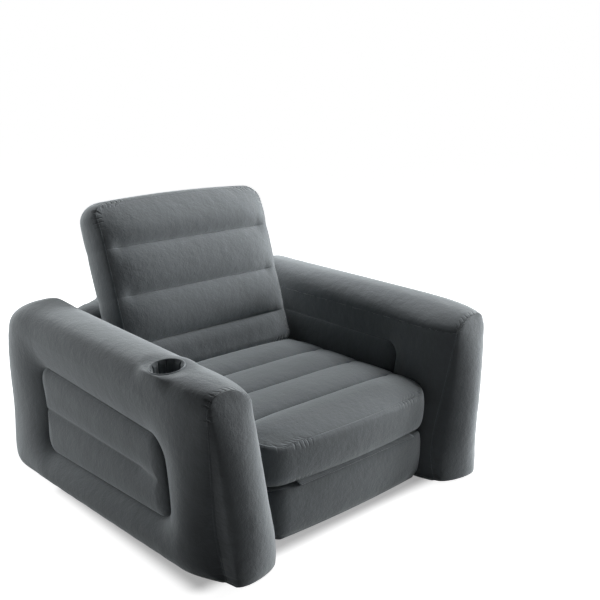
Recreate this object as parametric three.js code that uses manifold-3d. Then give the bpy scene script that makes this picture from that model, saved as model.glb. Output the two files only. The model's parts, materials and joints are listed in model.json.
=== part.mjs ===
// Inflatable armchair that pulls out into a single bed.
// Millimetres, +X to the right as seen from the front, -Y the front, +Z up, standing on Z = 0.

import * as THREE from 'three';
import { mergeVertices } from 'three/addons/utils/BufferGeometryUtils.js';
import Module from 'manifold-3d';

const wasm = await Module();
wasm.setup();

// Welded sheet, and the clearances that the pieces keep.
const sheet = { wall: 2.5, clearance: 0.3, cutReach: 40, samePoint: 1e-4 };

// Hinge strips: welded leaves that meet at the line where two cushions fold.
const strip = { thickness: 0.8, frontPlane: -4, endClearance: 1.5, stand: 0.5, foldGap: 0.4 };
const lean = THREE.MathUtils.degToRad(18.7);

// Tension beams and webs, with the clearance to the skins that they are welded to.
const beam = { thickness: 1.6, clearance: 0.4 };

// The two cushions, length from end bulge to end bulge along the bed.
const seat = {
  length: 646,
  thickness: 160,
  halfWidth: 328,
  lift: 22,
  crown: 24,
  underShare: 0.24,
  endBulge: 18,
  sideBulge: 14,
  bow: 12,
  cornerRadius: 46,
  pinch: 5,
  clearanceBelow: 4,
  valleyShares: [0.26, 0.505, 0.75],
};

// How far the pieces around the seat cushion reach behind it.
const behindSeat = { base: 38, backFoot: 406, backTop: 369 };

// How far their sides stand beside the side of the seat cushion, less than nothing where they are narrower.
const besideSeat = {
  backCushion: -4,
  base: -26,
  backFoot: -44,
  backShoulder: 4,
  backHump: -90,
  armFootInner: -6,
  armShoulderInner: 65,
  armFootOuter: 184,
  armShoulderOuter: 208,
  cup: 179,
};

const backCushion = {
  length: 565,
  thickness: 160,
  halfWidth: seat.halfWidth + besideSeat.backCushion,
  lift: 22,
  crown: 24,
  underShare: 0.5,
  endBulge: 14,
  sideBulge: 14,
  bow: 12,
  cornerRadius: 46,
  pinch: 6,
  hingeDepth: 28,
  valleyShares: [0.186, 0.453, 0.72],
};

// Base between the arms, under the seat cushion.
const base = {
  length: seat.length + behindSeat.base,
  height: 163,
  halfWidth: seat.halfWidth + besideSeat.base,
  lift: 6,
  crown: 15,
  footSeam: 16,
  footRun: 20,
  endBulge: 14,
  sideBulge: 14,
  bow: 10,
  cornerRadius: 42,
  pinch: 4,
  valleyShares: [0.246, 0.49, 0.728],
};

// Fixed back with a headrest hump. The back cushion leans on its front.
const fixedBack = {
  height: 640,
  shoulder: 470,
  shoulderBlend: 44,
  footHalfWidth: seat.halfWidth + besideSeat.backFoot,
  shoulderHalfWidth: seat.halfWidth + besideSeat.backShoulder,
  humpHalfWidth: seat.halfWidth + besideSeat.backHump,
  cushionGap: 4,
  footRear: seat.length + behindSeat.backFoot,
  topRear: seat.length + behindSeat.backTop,
  seamInset: 34,
  footSeam: 18,
  crown: 18,
  sideBulge: 14,
  cornerRadius: 60,
  pinch: 5,
  valleyHeights: [182, 322, 462],
};

// Arms. The seams lean outwards, and the side sheets bulge between them.
const arm = {
  depth: 1088,
  frontBulge: 84,
  rearBulge: 48,
  capLean: 0.85,
  capFade: 1.6,
  footOuter: seat.halfWidth + besideSeat.armFootOuter,
  shoulderOuter: seat.halfWidth + besideSeat.armShoulderOuter,
  shoulder: 440,
  footInner: seat.halfWidth + besideSeat.armFootInner,
  shoulderInner: seat.halfWidth + besideSeat.armShoulderInner,
  innerSeam: 455,
  footSeam: 8,
  footRun: 16,
  footBow: 62,
  footBowRun: 110,
  crestFront: 499,
  crestMiddle: 516,
  crestRear: 533,
  crestRun: 70,
  archLeanFront: 0.26,
  archLeanRear: -0.08,
  archPower: 0.76,
  rearStraight: 200,
  rearRound: 190,
  outerBulge: 34,
  innerBulge: 8,
  overTop: 190,
};
const outerWindow = { front: 205, rear: 818, bottom: 98, top: 340, radius: 52, sink: 4, crown: 12, edge: 45 };
const innerWindow = { front: 205, rear: 818, bottom: 122, top: 376, radius: 52, sink: 6, crown: 8, edge: 45 };

// Cup well, a pleated liner welded into the top of the left arm.
const cup = { x: seat.halfWidth + besideSeat.cup, y: 193, radius: 50, floorRadius: 38, depth: 86, wall: 2, pleats: 12, pleatDepth: 2.4, lip: 1 };

// Air sleeves between the chambers.
const sleeve = { radius: 22, wall: 2.5, reach: 9, armBaseY: 257, baseHeight: 78, backHeight: 252 };

// Two-in-one valve: a welded base, a body that pulls out, a one-way flap and a cap.
const valve = {
  flangeRadius: 22,
  flangeThickness: 2,
  neckRadius: 15.5,
  boreRadius: 13.2,
  neckDepth: 14,
  bodyFlangeRadius: 17,
  bodyDepth: 11,
  bodyBoreRadius: 7,
  flapRadius: 9,
  flapThickness: 0.8,
  capRadius: 14,
  plugDepth: 8,
  tabLength: 9,
  tabWidth: 8,
};
const chairValveX = 150;

// Grid lines of the forms, as shares of the stretch that each list divides.
const endChannelShares = [0, 0.08, 0.25, 0.5, 0.76];
const middleChannelShares = [0, 0.22, 0.5, 0.78];
const acrossShares = [-1, -0.87, -0.5, 0, 0.5, 0.87, 1];
const backFootShares = [0, 0.2, 0.6];
const backTopShares = [0, 0.19, 0.47, 0.76, 0.93, 1];
const frontStationShares = [0, 0.14, 0.4, 0.73];
const windowStationShares = [0, 0.14, 0.5, 0.86];
const rearStationShares = [0, 0.28, 0.58, 0.82, 1];
const capShares = [0.14, 0.45, 0.8];
const sideLiftShare = 0.3;
const footLevelShares = [0, 0.5];
const windowLevelShares = [0, 0.23, 0.47, 0.74];
const shoulderLevelShares = [0, 0.45, 1];
const midWeldShare = windowLevelShares[2];
const bandSteps = 3;
const archSteps = 6;
const roundSteps = 32;
const pleatSteps = 4;

const finishes = {
  flocked: { color: 0x5b6064, roughness: 0.92, metalness: 0 },
  film: { color: 0x6f7478, roughness: 0.6, metalness: 0 },
  liner: { color: 0x2c3033, roughness: 0.7, metalness: 0 },
  moulded: { color: 0x3a3d40, roughness: 0.45, metalness: 0 },
};

const mix = THREE.MathUtils.lerp;
const clamp = THREE.MathUtils.clamp;
const point = (x, y, z) => new THREE.Vector3(x, y, z);
const xAxis = point(1, 0, 0);
const yAxis = point(0, 1, 0);
const zAxis = point(0, 0, 1);

// Parabola that is 0 at both ends of a stretch and 1 in its middle.
const arc = (share) => 4 * share * (1 - share);

// Lines that divide a stretch at the given shares.
const between = (low, high, shares) => shares.map((share) => mix(low, high, share));

// Lines along a channelled face, closer where the two ends round off.
function channelLines(nodes) {
  const last = nodes.length - 2;
  const lines = nodes.slice(0, -1).flatMap((low, k) => {
    const high = nodes[k + 1];
    if (k === 0) return between(low, high, endChannelShares);
    if (k === last) return [low, ...between(high, low, endChannelShares.slice(1)).reverse()];
    return between(low, high, middleChannelShares);
  });
  return [...lines, nodes.at(-1)];
}

function solidOf(points, faces) {
  const vertProperties = new Float32Array(points.flatMap((p) => [p.x, p.y, p.z]));
  return new wasm.Manifold(new wasm.Mesh({ numProp: 3, vertProperties, triVerts: new Uint32Array(faces.flat()) }));
}

function solidOfGeometry(geometry) {
  const bare = new THREE.BufferGeometry();
  bare.setAttribute('position', geometry.getAttribute('position').clone());
  if (geometry.index) bare.setIndex(geometry.index.clone());
  const merged = mergeVertices(bare, sheet.samePoint);
  const vertProperties = new Float32Array(merged.getAttribute('position').array);
  return new wasm.Manifold(new wasm.Mesh({ numProp: 3, vertProperties, triVerts: new Uint32Array(merged.index.array) }));
}

function geometryOf(solid) {
  const mesh = solid.getMesh();
  const geometry = new THREE.BufferGeometry();
  geometry.setAttribute('position', new THREE.BufferAttribute(new Float32Array(mesh.vertProperties), 3));
  geometry.setIndex(new THREE.BufferAttribute(new Uint32Array(mesh.triVerts), 1));
  geometry.computeVertexNormals();
  return geometry;
}

// Two triangles for the quad a, b, c, d, which runs anticlockwise as seen from outside.
const quad = (a, b, c, d) => [[a, b, c], [a, c, d]];

// The same, split along the shorter diagonal.
function shortQuad(points, a, b, c, d) {
  const first = points[a].distanceToSquared(points[c]);
  const second = points[b].distanceToSquared(points[d]);
  return first < second ? quad(a, b, c, d) : quad(b, c, d, a);
}

// Area-weighted outward normals at the points of a closed mesh.
function pointNormals(points, faces) {
  const normals = points.map(() => point(0, 0, 0));
  for (const [a, b, c] of faces) {
    const along = points[b].clone().sub(points[a]);
    const normal = along.cross(points[c].clone().sub(points[a]));
    for (const id of [a, b, c]) normals[id].add(normal);
  }
  return normals.map((normal) => normal.normalize());
}

// A skin: the closed outer form, and its inside one wall thickness in.
function skinOf({ points, faces }) {
  const normals = pointNormals(points, faces);
  const inside = points.map((p, id) => p.clone().addScaledVector(normals[id], -sheet.wall));
  return { solid: solidOf(points, faces).subtract(solidOf(inside, faces)), points, inside };
}

// Outline of a grid of point numbers, anticlockwise as seen from above the grid.
function outlineOf(grid) {
  const lastRow = grid.length - 1;
  const lastCol = grid[0].length - 1;
  const right = grid.slice(1, -1).map((row) => row[lastCol]);
  const left = grid.slice(1, -1).map((row) => row[0]).reverse();
  return [...grid[0], ...right, ...[...grid[lastRow]].reverse(), ...left];
}

// A closed form of two facing grids, upper and lower, joined by a band round their outlines.
// along and up span the plan, and bulge gives how far the band stands out for a plan normal.
function pillow({ rows, upper, lower, along, up, bulge, limit }) {
  const points = [];
  const add = (p) => points.push(p) - 1;
  const top = rows.map((line) => acrossShares.map((share) => add(upper(line, share))));
  const bottom = rows.map((line) => acrossShares.map((share) => add(lower(line, share))));
  const topRing = outlineOf(top);
  const bottomRing = outlineOf(bottom);
  const count = topRing.length;
  const middleOf = (k) => points[topRing[k]].clone().add(points[bottomRing[k]]).multiplyScalar(0.5);
  const outward = topRing.map((id, k) => {
    const run = middleOf((k + 1) % count).sub(middleOf((k + count - 1) % count));
    return run.addScaledVector(up, -run.dot(up)).cross(up).normalize();
  });
  const levels = [topRing];
  for (let step = 1; step < bandSteps; step += 1) {
    const share = step / bandSteps;
    levels.push(topRing.map((id, k) => {
      const p = points[id].clone().lerp(points[bottomRing[k]], share);
      const endShare = outward[k].dot(along) ** 2;
      return add(limit(p.addScaledVector(outward[k], bulge(endShare, points[id]) * arc(share))));
    }));
  }
  levels.push(bottomRing);
  const faces = [];
  for (let i = 0; i < rows.length - 1; i += 1) {
    for (let j = 0; j < acrossShares.length - 1; j += 1) {
      faces.push(...quad(top[i][j], top[i][j + 1], top[i + 1][j + 1], top[i + 1][j]));
      faces.push(...quad(bottom[i][j], bottom[i + 1][j], bottom[i + 1][j + 1], bottom[i][j + 1]));
    }
  }
  for (let step = 0; step < bandSteps; step += 1) {
    for (let k = 0; k < count; k += 1) {
      const next = (k + 1) % count;
      faces.push(...quad(levels[step][k], levels[step + 1][k], levels[step + 1][next], levels[step][next]));
    }
  }
  return { points, faces, top, bottom };
}

// How far the corner of an outline draws in, at a distance from its end.
function cornerInset(distance, radius) {
  if (distance >= radius) return 0;
  return radius - Math.sqrt(radius ** 2 - (radius - distance) ** 2);
}

// Position of a line among the nodes of a channelled face: which channel, and the share across it.
function channelAt(nodes, line) {
  const found = nodes.findIndex((node, k) => k > 0 && line <= node);
  const k = found < 0 ? nodes.length - 1 : found;
  return { k, share: (line - nodes[k - 1]) / (nodes[k] - nodes[k - 1]) };
}

// Rounding of a face towards its side seams.
const sideFade = (share) => mix(sideLiftShare, 1, Math.sqrt(1 - Math.abs(share) ** 5));

// A cushion in its own frame: x across, y along from one end bulge, z up from the lower crown.
function cushionForm(spec) {
  const seams = [spec.endBulge, spec.length - spec.endBulge];
  const nodes = [seams[0], ...spec.valleyShares.map((share) => share * spec.length), seams[1]];
  const lastNode = nodes.length - 1;
  const rise = spec.lift + spec.crown;
  const height = spec.height ?? spec.thickness;
  const footSeam = spec.footSeam ?? rise * spec.underShare;
  const endDistance = (line) => Math.min(line - seams[0], seams[1] - line);
  const halfWidthAt = (line) => {
    const atValley = nodes.slice(1, -1).includes(line);
    return spec.halfWidth - cornerInset(endDistance(line), spec.cornerRadius) - (atValley ? spec.pinch : 0);
  };
  const swell = (line) => {
    const { k, share } = channelAt(nodes, line);
    const low = k === 1 ? 0 : spec.lift;
    const high = k === lastNode ? 0 : spec.lift;
    return mix(low, high, share) + spec.crown * arc(share);
  };
  const bowAt = (line, share) => {
    const front = clamp(1 - (line - seams[0]) / (nodes[1] - seams[0]), 0, 1);
    const rear = clamp(1 - (seams[1] - line) / (seams[1] - nodes[lastNode - 1]), 0, 1);
    return spec.bow * share ** 2 * (front - rear);
  };
  const plan = (line, share, z) => point(share * halfWidthAt(line), line + bowAt(line, share), z);
  const upper = (line, share) => plan(line, share, height - rise + swell(line) * sideFade(share));
  const flatFoot = (line, share) => {
    const inset = Math.min(endDistance(line), (1 - Math.abs(share)) * spec.halfWidth);
    return footSeam * clamp(inset / spec.footRun, 0, 1);
  };
  const lower = (line, share) => {
    const drop = spec.footSeam ? flatFoot(line, share) : swell(line) * sideFade(share) * spec.underShare;
    return plan(line, share, footSeam - drop);
  };
  const bulge = (endShare) => mix(spec.sideBulge, spec.endBulge, endShare);
  const rows = channelLines(nodes);
  const form = pillow({ rows, upper, lower, along: yAxis, up: zAxis, bulge, limit: (p) => p });
  return { ...form, rows, nodes };
}

const turnedOver = (faces) => faces.map(([a, b, c]) => [a, c, b]);

// Solid of a closed mesh whose faces all point the same way, turned over if they point in.
function closedSolid(points, faces) {
  const solid = solidOf(points, faces);
  return solid.volume() > 0 ? solid : solidOf(points, turnedOver(faces));
}

// A flat piece between two edges that run side by side, given its thickness as a vector.
function webBetween(firstEdge, secondEdge, thickness) {
  const half = thickness.clone().multiplyScalar(0.5);
  const shifted = (edge, sign) => edge.map((p) => p.clone().addScaledVector(half, sign));
  const edges = [shifted(firstEdge, 1), shifted(secondEdge, 1), shifted(secondEdge, -1), shifted(firstEdge, -1)];
  const points = edges.flat();
  const count = firstEdge.length;
  const id = (edge, k) => (edge % 4) * count + k;
  const faces = [];
  for (let k = 0; k < count - 1; k += 1) {
    const around = (edge) => [id(edge, k), id(edge, k + 1), id(edge + 1, k + 1), id(edge + 1, k)];
    for (const edge of [0, 1]) faces.push(...quad(...around(edge)));
    // The two broad faces are split the same way, so they run side by side where the piece twists.
    for (const edge of [2, 3]) faces.push(...quad(...around(edge).slice(1), around(edge)[0]));
  }
  const end = count - 1;
  faces.push(...quad(id(0, 0), id(1, 0), id(2, 0), id(3, 0)));
  faces.push(...quad(id(3, end), id(2, end), id(1, end), id(0, end)));
  return closedSolid(points, faces);
}

// A round piece turned about an axis, from its outline in radius and distance along the axis.
function turned(outline, axis) {
  const closed = [...outline, outline[0]].map(([radius, along]) => new THREE.Vector2(radius, along));
  const geometry = new THREE.LatheGeometry(closed, roundSteps);
  geometry.applyQuaternion(new THREE.Quaternion().setFromUnitVectors(yAxis, axis));
  const solid = solidOfGeometry(geometry);
  if (solid.volume() > 0) return solid;
  geometry.setIndex([...geometry.index.array].reverse());
  return solidOfGeometry(geometry);
}

// A round cutter centred on a place, reaching out both ways along an axis.
function roundCutter(radius, place, axis, reach) {
  const outline = [[0, -reach], [radius, -reach], [radius, reach], [0, reach]];
  return turned(outline, axis).translate(place.x, place.y, place.z);
}

function piece(name, shape, finish) {
  const geometry = shape.isBufferGeometry ? shape : geometryOf(shape);
  const mesh = new THREE.Mesh(geometry, new THREE.MeshStandardMaterial(finishes[finish]));
  mesh.name = name;
  return mesh;
}

// Beams that tie the valleys of two facing channelled faces together.
function valleyBeams(name, form, skin, edge, thickness) {
  const group = new THREE.Group();
  form.nodes.slice(1, -1).forEach((node, k) => {
    const row = form.rows.indexOf(node);
    const span = (grid, sign) => grid[row].slice(1, -1)
      .map((id) => skin.inside[id].clone().addScaledVector(edge, sign * beam.clearance));
    group.add(piece(`${name}_${k + 1}`, webBetween(span(form.top, -1), span(form.bottom, 1), thickness), 'film'));
  });
  return group;
}

// One leaf of a hinge strip, from a seam to just short of the folding line.
function stripLeaf(name, seamPoints, seamShift, hingeY, hingeZ) {
  const fromSeam = seamPoints.map((p) => p.clone().add(seamShift));
  const toHinge = seamPoints.map((p) => point(p.x, hingeY, hingeZ));
  return piece(name, webBetween(fromSeam, toHinge, point(0, 0, strip.thickness)), 'film');
}

const insideColumns = (row) => row.slice(1, -1);

// Where the pieces stand: the folding lines, and the frame of the leaning back cushion.
const baseFront = strip.frontPlane + strip.endClearance;
const seatFloor = base.height + seat.clearanceBelow;
const frontFold = point(0, strip.frontPlane, base.height + seat.clearanceBelow / 2);
const rearFold = point(
  0,
  baseFront + seat.length + strip.endClearance,
  seatFloor + seat.thickness - backCushion.hingeDepth,
);
const cushionUp = point(0, Math.sin(lean), Math.cos(lean));
const cushionFront = point(0, -Math.cos(lean), Math.sin(lean));
const foldInCushion = backCushion.thickness - backCushion.hingeDepth;
const cushionOrigin = rearFold.clone()
  .addScaledVector(cushionUp, strip.endClearance)
  .addScaledVector(cushionFront, -foldInCushion);

// Plane that the front crowns of the fixed back touch, parallel to the back cushion.
const leanPlaneY = (z) => {
  const onRear = cushionOrigin.y + (z - cushionOrigin.z) * Math.tan(lean);
  return onRear + fixedBack.cushionGap / Math.cos(lean);
};

// The seat cushion stands in its own frame over the base.
function buildSeat() {
  const group = new THREE.Group();
  const form = cushionForm(seat);
  const skin = skinOf(form);
  const holes = roundCutter(airHole.radius, airHole.inSeat, yAxis, sheet.cutReach);
  group.add(piece('seat_cushion_skin', skin.solid.subtract(holes), 'flocked'));
  group.add(valleyBeams('seat_beam', form, skin, zAxis, point(0, beam.thickness, 0)));
  const frontSeam = insideColumns(form.bottom[0]).map((id) => form.points[id]);
  const rearSeam = insideColumns(form.top.at(-1)).map((id) => form.points[id]);
  const besideFront = frontFold.z - seatFloor + (strip.thickness + strip.foldGap) / 2;
  group.add(stripLeaf('seat_front_strip', frontSeam, point(0, -strip.stand, -strip.stand), 0, besideFront));
  const besideRear = rearFold.z - seatFloor;
  const rearEnd = seat.length + strip.endClearance - strip.foldGap;
  group.add(stripLeaf('seat_rear_strip', rearSeam, point(0, strip.stand, strip.stand), rearEnd, besideRear));
  group.position.set(0, baseFront, seatFloor);
  return group;
}

// The back cushion is built lying down and leans back in its own frame.
function buildBackCushion() {
  const group = new THREE.Group();
  const form = cushionForm(backCushion);
  const skin = skinOf(form);
  const valvePlace = point(
    backCushion.halfWidth + backCushion.sideBulge,
    (form.nodes[2] + form.nodes[3]) / 2,
    backCushion.thickness / 2,
  );
  const holes = roundCutter(valve.neckRadius + sheet.clearance, valvePlace, xAxis, sheet.cutReach)
    .add(roundCutter(airHole.radius, airHole.inCushion, yAxis, sheet.cutReach));
  group.add(piece('back_cushion_skin', skin.solid.subtract(holes), 'flocked'));
  group.add(valleyBeams('back_cushion_beam', form, skin, zAxis, point(0, beam.thickness, 0)));
  group.add(buildValve('bed_valve', valvePlace, xAxis));
  const seam = insideColumns(form.top[0]).map((id) => form.points[id]);
  const leafEnd = strip.foldGap - strip.endClearance;
  group.add(stripLeaf('back_cushion_strip', seam, point(0, -strip.stand, strip.stand), leafEnd, foldInCushion));
  group.position.copy(cushionOrigin);
  group.rotation.x = Math.PI / 2 - lean;
  return group;
}

// The base lies flat on the floor between the arms.
function buildBase() {
  const group = new THREE.Group();
  const form = cushionForm(base);
  form.points.forEach((p) => p.add(point(0, baseFront, 0)));
  const skin = skinOf(form);
  const holes = sleeves.filter(({ cutsBase }) => cutsBase).map(({ cutter }) => cutter);
  group.add(piece('base_skin', wasm.Manifold.difference([skin.solid, ...holes]), 'flocked'));
  group.add(valleyBeams('base_beam', form, skin, zAxis, point(0, beam.thickness, 0)));
  const seam = insideColumns(form.top[0]).map((id) => form.points[id]);
  const shift = point(0, -strip.stand, strip.stand);
  const besideFront = frontFold.z - (strip.thickness + strip.foldGap) / 2;
  group.add(stripLeaf('base_strip', seam, shift, baseFront, besideFront));
  return group;
}

// Half width of the fixed back: it widens up to the shoulders, then steps in to the hump.
function backHalfWidth(z, atValley) {
  const shoulderShare = Math.min(z / fixedBack.shoulder, 1);
  const body = mix(fixedBack.footHalfWidth, fixedBack.shoulderHalfWidth, shoulderShare);
  const blend = fixedBack.shoulderBlend / 2;
  const step = THREE.MathUtils.smoothstep(z, fixedBack.shoulder - blend, fixedBack.shoulder + blend);
  const toTop = fixedBack.height - fixedBack.crown - z;
  const inset = cornerInset(toTop, fixedBack.cornerRadius) + (atValley ? fixedBack.pinch : 0);
  return mix(body, fixedBack.humpHalfWidth, step) - inset;
}

// The fixed back rises behind the back cushion, its front parallel to it.
function buildFixedBack() {
  const group = new THREE.Group();
  const topSeam = fixedBack.height - fixedBack.crown;
  const nodes = [fixedBack.footSeam, ...fixedBack.valleyHeights, topSeam];
  const channels = [backFootShares, middleChannelShares, middleChannelShares, backTopShares];
  const rows = channels.flatMap((shares, k) => between(nodes[k], nodes[k + 1], shares));
  const lift = fixedBack.seamInset - fixedBack.crown;
  const lastNode = nodes.length - 1;
  const swell = (z) => {
    const { k, share } = channelAt(nodes, z);
    const flat = mix(k === 1 ? 0 : lift, k === lastNode ? 0 : lift, share);
    return flat + fixedBack.crown * arc(share);
  };
  const across = (z, share) => share * backHalfWidth(z, fixedBack.valleyHeights.includes(z));
  const inset = (z, share) => fixedBack.seamInset - swell(z) * sideFade(share);
  const rearY = (z) => mix(fixedBack.footRear, fixedBack.topRear, z / fixedBack.height);
  const upper = (z, share) => point(across(z, share), leanPlaneY(z) + inset(z, share), z);
  const lower = (z, share) => point(across(z, share), rearY(z) - inset(z, share), z);
  const bulge = (endShare, p) => {
    const end = p.z < fixedBack.shoulder ? fixedBack.footSeam * 2 : fixedBack.crown;
    return mix(fixedBack.sideBulge, end, endShare);
  };
  const limit = (p) => point(p.x, p.y, Math.max(p.z, 0));
  const form = { ...pillow({ rows, upper, lower, along: zAxis, up: point(0, -1, 0), bulge, limit }), rows, nodes };
  const skin = skinOf(form);
  const valveHeight = (nodes[1] + nodes[2]) / 2;
  const valvePlace = point(chairValveX, rearY(valveHeight), valveHeight);
  const holes = sleeves.filter(({ cutsBack }) => cutsBack).map(({ cutter }) => cutter);
  const rearNormal = point(0, fixedBack.height, fixedBack.footRear - fixedBack.topRear).normalize();
  holes.push(roundCutter(valve.neckRadius + sheet.clearance, valvePlace, rearNormal, sheet.cutReach));
  group.add(piece('fixed_back_skin', wasm.Manifold.difference([skin.solid, ...holes]), 'flocked'));
  group.add(valleyBeams('fixed_back_beam', form, skin, point(0, -1, 0), point(0, 0, beam.thickness)));
  group.add(buildValve('chair_valve', valvePlace, rearNormal));
  return group;
}

// Distance outside a rounded window, negative inside it.
function windowDistance(window, y, z) {
  const alongY = Math.abs(y - (window.front + window.rear) / 2) - (window.rear - window.front) / 2 + window.radius;
  const alongZ = Math.abs(z - (window.bottom + window.top) / 2) - (window.top - window.bottom) / 2 + window.radius;
  const outside = Math.hypot(Math.max(alongY, 0), Math.max(alongZ, 0));
  return outside + Math.min(Math.max(alongY, alongZ), 0) - window.radius;
}

// How far a side sheet of an arm stands out from its seams: a fat ring round a sunk panel.
function sheetBulge(window, y, z, seamHeight, bulge) {
  const outside = windowDistance(window, y, z);
  if (outside <= 0) {
    const middle = mix(window.bottom, window.top, midWeldShare);
    const share = clamp(Math.min(-outside, Math.abs(z - middle)) / window.edge, 0, 1);
    return window.crown * Math.sqrt(1 - (1 - share) ** 2) - window.sink;
  }
  const edges = [y, arm.depth - y, z - arm.footSeam, seamHeight - z + arm.overTop];
  if (Math.min(...edges) <= 0) return 0;
  const edge = edges.reduce((sum, distance) => sum + distance ** -3, 0) ** (-1 / 3);
  const share = outside / (outside + edge);
  return bulge * arc(share) - window.sink * (1 - share);
}

// Outer seam line, and how far the foot of the outer sheet bows out away from the ends.
function outerSeamX(y, z) {
  const share = clamp(Math.min(y, arm.depth - y) / arm.footBowRun, 0, 1);
  const bow = arm.footBow * (1 - (1 - share) ** 2) * Math.max(1 - z / arm.shoulder, 0) ** 2;
  return mix(arm.footOuter, arm.shoulderOuter, z / arm.shoulder) + bow;
}
const innerSeamX = (z) => mix(arm.footInner, arm.shoulderInner, z / arm.innerSeam);
const outerX = (y, z) => outerSeamX(y, z) + sheetBulge(outerWindow, y, z, arm.shoulder, arm.outerBulge);
const innerX = (y, z) => innerSeamX(z) - sheetBulge(innerWindow, y, z, arm.innerSeam, arm.innerBulge);

// The rear end of an arm rounds forwards towards its top: where a station lies at a height.
function stationY(y, z) {
  const high = clamp((z - arm.rearStraight) / (arm.crestRear - arm.rearStraight), 0, 1);
  const inset = arm.rearRound * (1 - Math.sqrt(1 - high ** 2));
  return y - inset * clamp((y - outerWindow.rear) / (arm.depth - outerWindow.rear), 0, 1);
}

const crestAt = (y) => {
  const front = mix(arm.crestFront, arm.crestMiddle, 1 - Math.exp(-y / arm.crestRun));
  return front + (arm.crestRear - arm.crestMiddle) * (y / arm.depth);
};

// The top sheet of an arm at a station, from its outer shoulder over to the inner seam.
function archAt(y, share) {
  const outer = outerX(y, arm.shoulder);
  const inner = innerX(y, arm.innerSeam);
  const rise = crestAt(y) - (arm.shoulder + arm.innerSeam) / 2;
  const across = Math.cos(share * Math.PI);
  const lean = mix(arm.archLeanFront, arm.archLeanRear, y / arm.depth);
  const lift = rise * Math.sin(share * Math.PI) ** arm.archPower * (1 + lean * across);
  const x = (outer + inner) / 2 + ((outer - inner) / 2) * Math.sign(across) * Math.abs(across) ** arm.archPower;
  return [x, mix(arm.shoulder, arm.innerSeam, share) + lift];
}

const levelsOf = (window, seamHeight) => [
  ...between(arm.footSeam, window.bottom, footLevelShares),
  ...between(window.bottom, window.top, windowLevelShares),
  ...between(window.top, seamHeight, shoulderLevelShares),
];
const outerLevels = levelsOf(outerWindow, arm.shoulder);
const innerLevels = levelsOf(innerWindow, arm.innerSeam);
const stations = [
  ...between(0, outerWindow.front, frontStationShares),
  ...between(outerWindow.front, outerWindow.rear, windowStationShares),
  ...between(outerWindow.rear, arm.depth, rearStationShares),
];
const levelCount = outerLevels.length;
const outerIndex = (level) => level;
const innerIndex = (level) => 2 * levelCount + archSteps - 2 - level;

// Section of an arm at a station: up the outside, over the top, down the inside, along the foot.
function armSection(y) {
  const footRunShare = clamp(Math.min(y, arm.depth - y) / arm.footRun, 0, 1);
  const foot = arm.footSeam * (1 - footRunShare);
  const outside = outerLevels.map((z) => [outerX(y, z), z]);
  const over = Array.from({ length: archSteps - 1 }, (_, k) => archAt(y, (k + 1) / archSteps));
  const inside = innerLevels.map((z) => [innerX(y, z), z]).reverse();
  const under = capShares.map((share) => [mix(outside[0][0], inside.at(-1)[0], share), foot]).reverse();
  return [...outside, ...over, ...inside, ...under];
}

// Panel that closes one end of an arm, bulging out of the section's plane.
function endPanel(loop, points, bulge) {
  const faces = [];
  const archHalf = archSteps / 2;
  const pairs = outerLevels.slice(1).map((z, k) => [outerIndex(k + 1), innerIndex(k + 1)]);
  for (let k = 1; k < archHalf; k += 1) {
    pairs.push([levelCount - 1 + k, levelCount - 1 + archSteps - k]);
  }
  const under = [...loop.slice(-capShares.length)].reverse();
  under.forEach((id, k) => {
    points[id].y += bulge * Math.sqrt(arc(capShares[k] ** arm.capLean));
  });
  const grid = [[loop[outerIndex(0)], ...under, loop[innerIndex(0)]]];
  const apexHeight = points[loop[levelCount - 1 + archHalf]].z;
  pairs.forEach(([outer, inner]) => {
    const middle = capShares.map((share) => {
      const p = points[loop[outer]].clone().lerp(points[loop[inner]], share);
      const fade = Math.max(1 - (p.z / apexHeight) ** 2, 0);
      p.y += bulge * Math.sqrt(arc(share ** arm.capLean)) * fade ** arm.capFade;
      return points.push(p) - 1;
    });
    grid.push([loop[outer], ...middle, loop[inner]]);
  });
  for (let i = 0; i < grid.length - 1; i += 1) {
    for (let j = 0; j < grid[0].length - 1; j += 1) {
      faces.push(...quad(grid[i][j], grid[i + 1][j], grid[i + 1][j + 1], grid[i][j + 1]));
    }
  }
  const apex = loop[levelCount - 1 + archHalf];
  const top = grid.at(-1);
  for (let j = 0; j < top.length - 1; j += 1) faces.push([top[j], apex, top[j + 1]]);
  return faces;
}

// Skin form of one arm. side is 1 on the right and -1 on the left.
function armForm(side) {
  const points = [];
  const loops = stations.map((y) => armSection(y)
    .map(([x, z]) => points.push(point(side * x, stationY(y, z), z)) - 1));
  const faces = [];
  const count = loops[0].length;
  for (let i = 0; i < loops.length - 1; i += 1) {
    for (let k = 0; k < count; k += 1) {
      const next = (k + 1) % count;
      faces.push(...shortQuad(points, loops[i][k], loops[i + 1][k], loops[i + 1][next], loops[i][next]));
    }
  }
  faces.push(...endPanel(loops[0], points, -arm.frontBulge));
  faces.push(...turnedOver(endPanel(loops.at(-1), points, arm.rearBulge)));
  return { points, faces: side > 0 ? faces : turnedOver(faces), loops };
}

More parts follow.
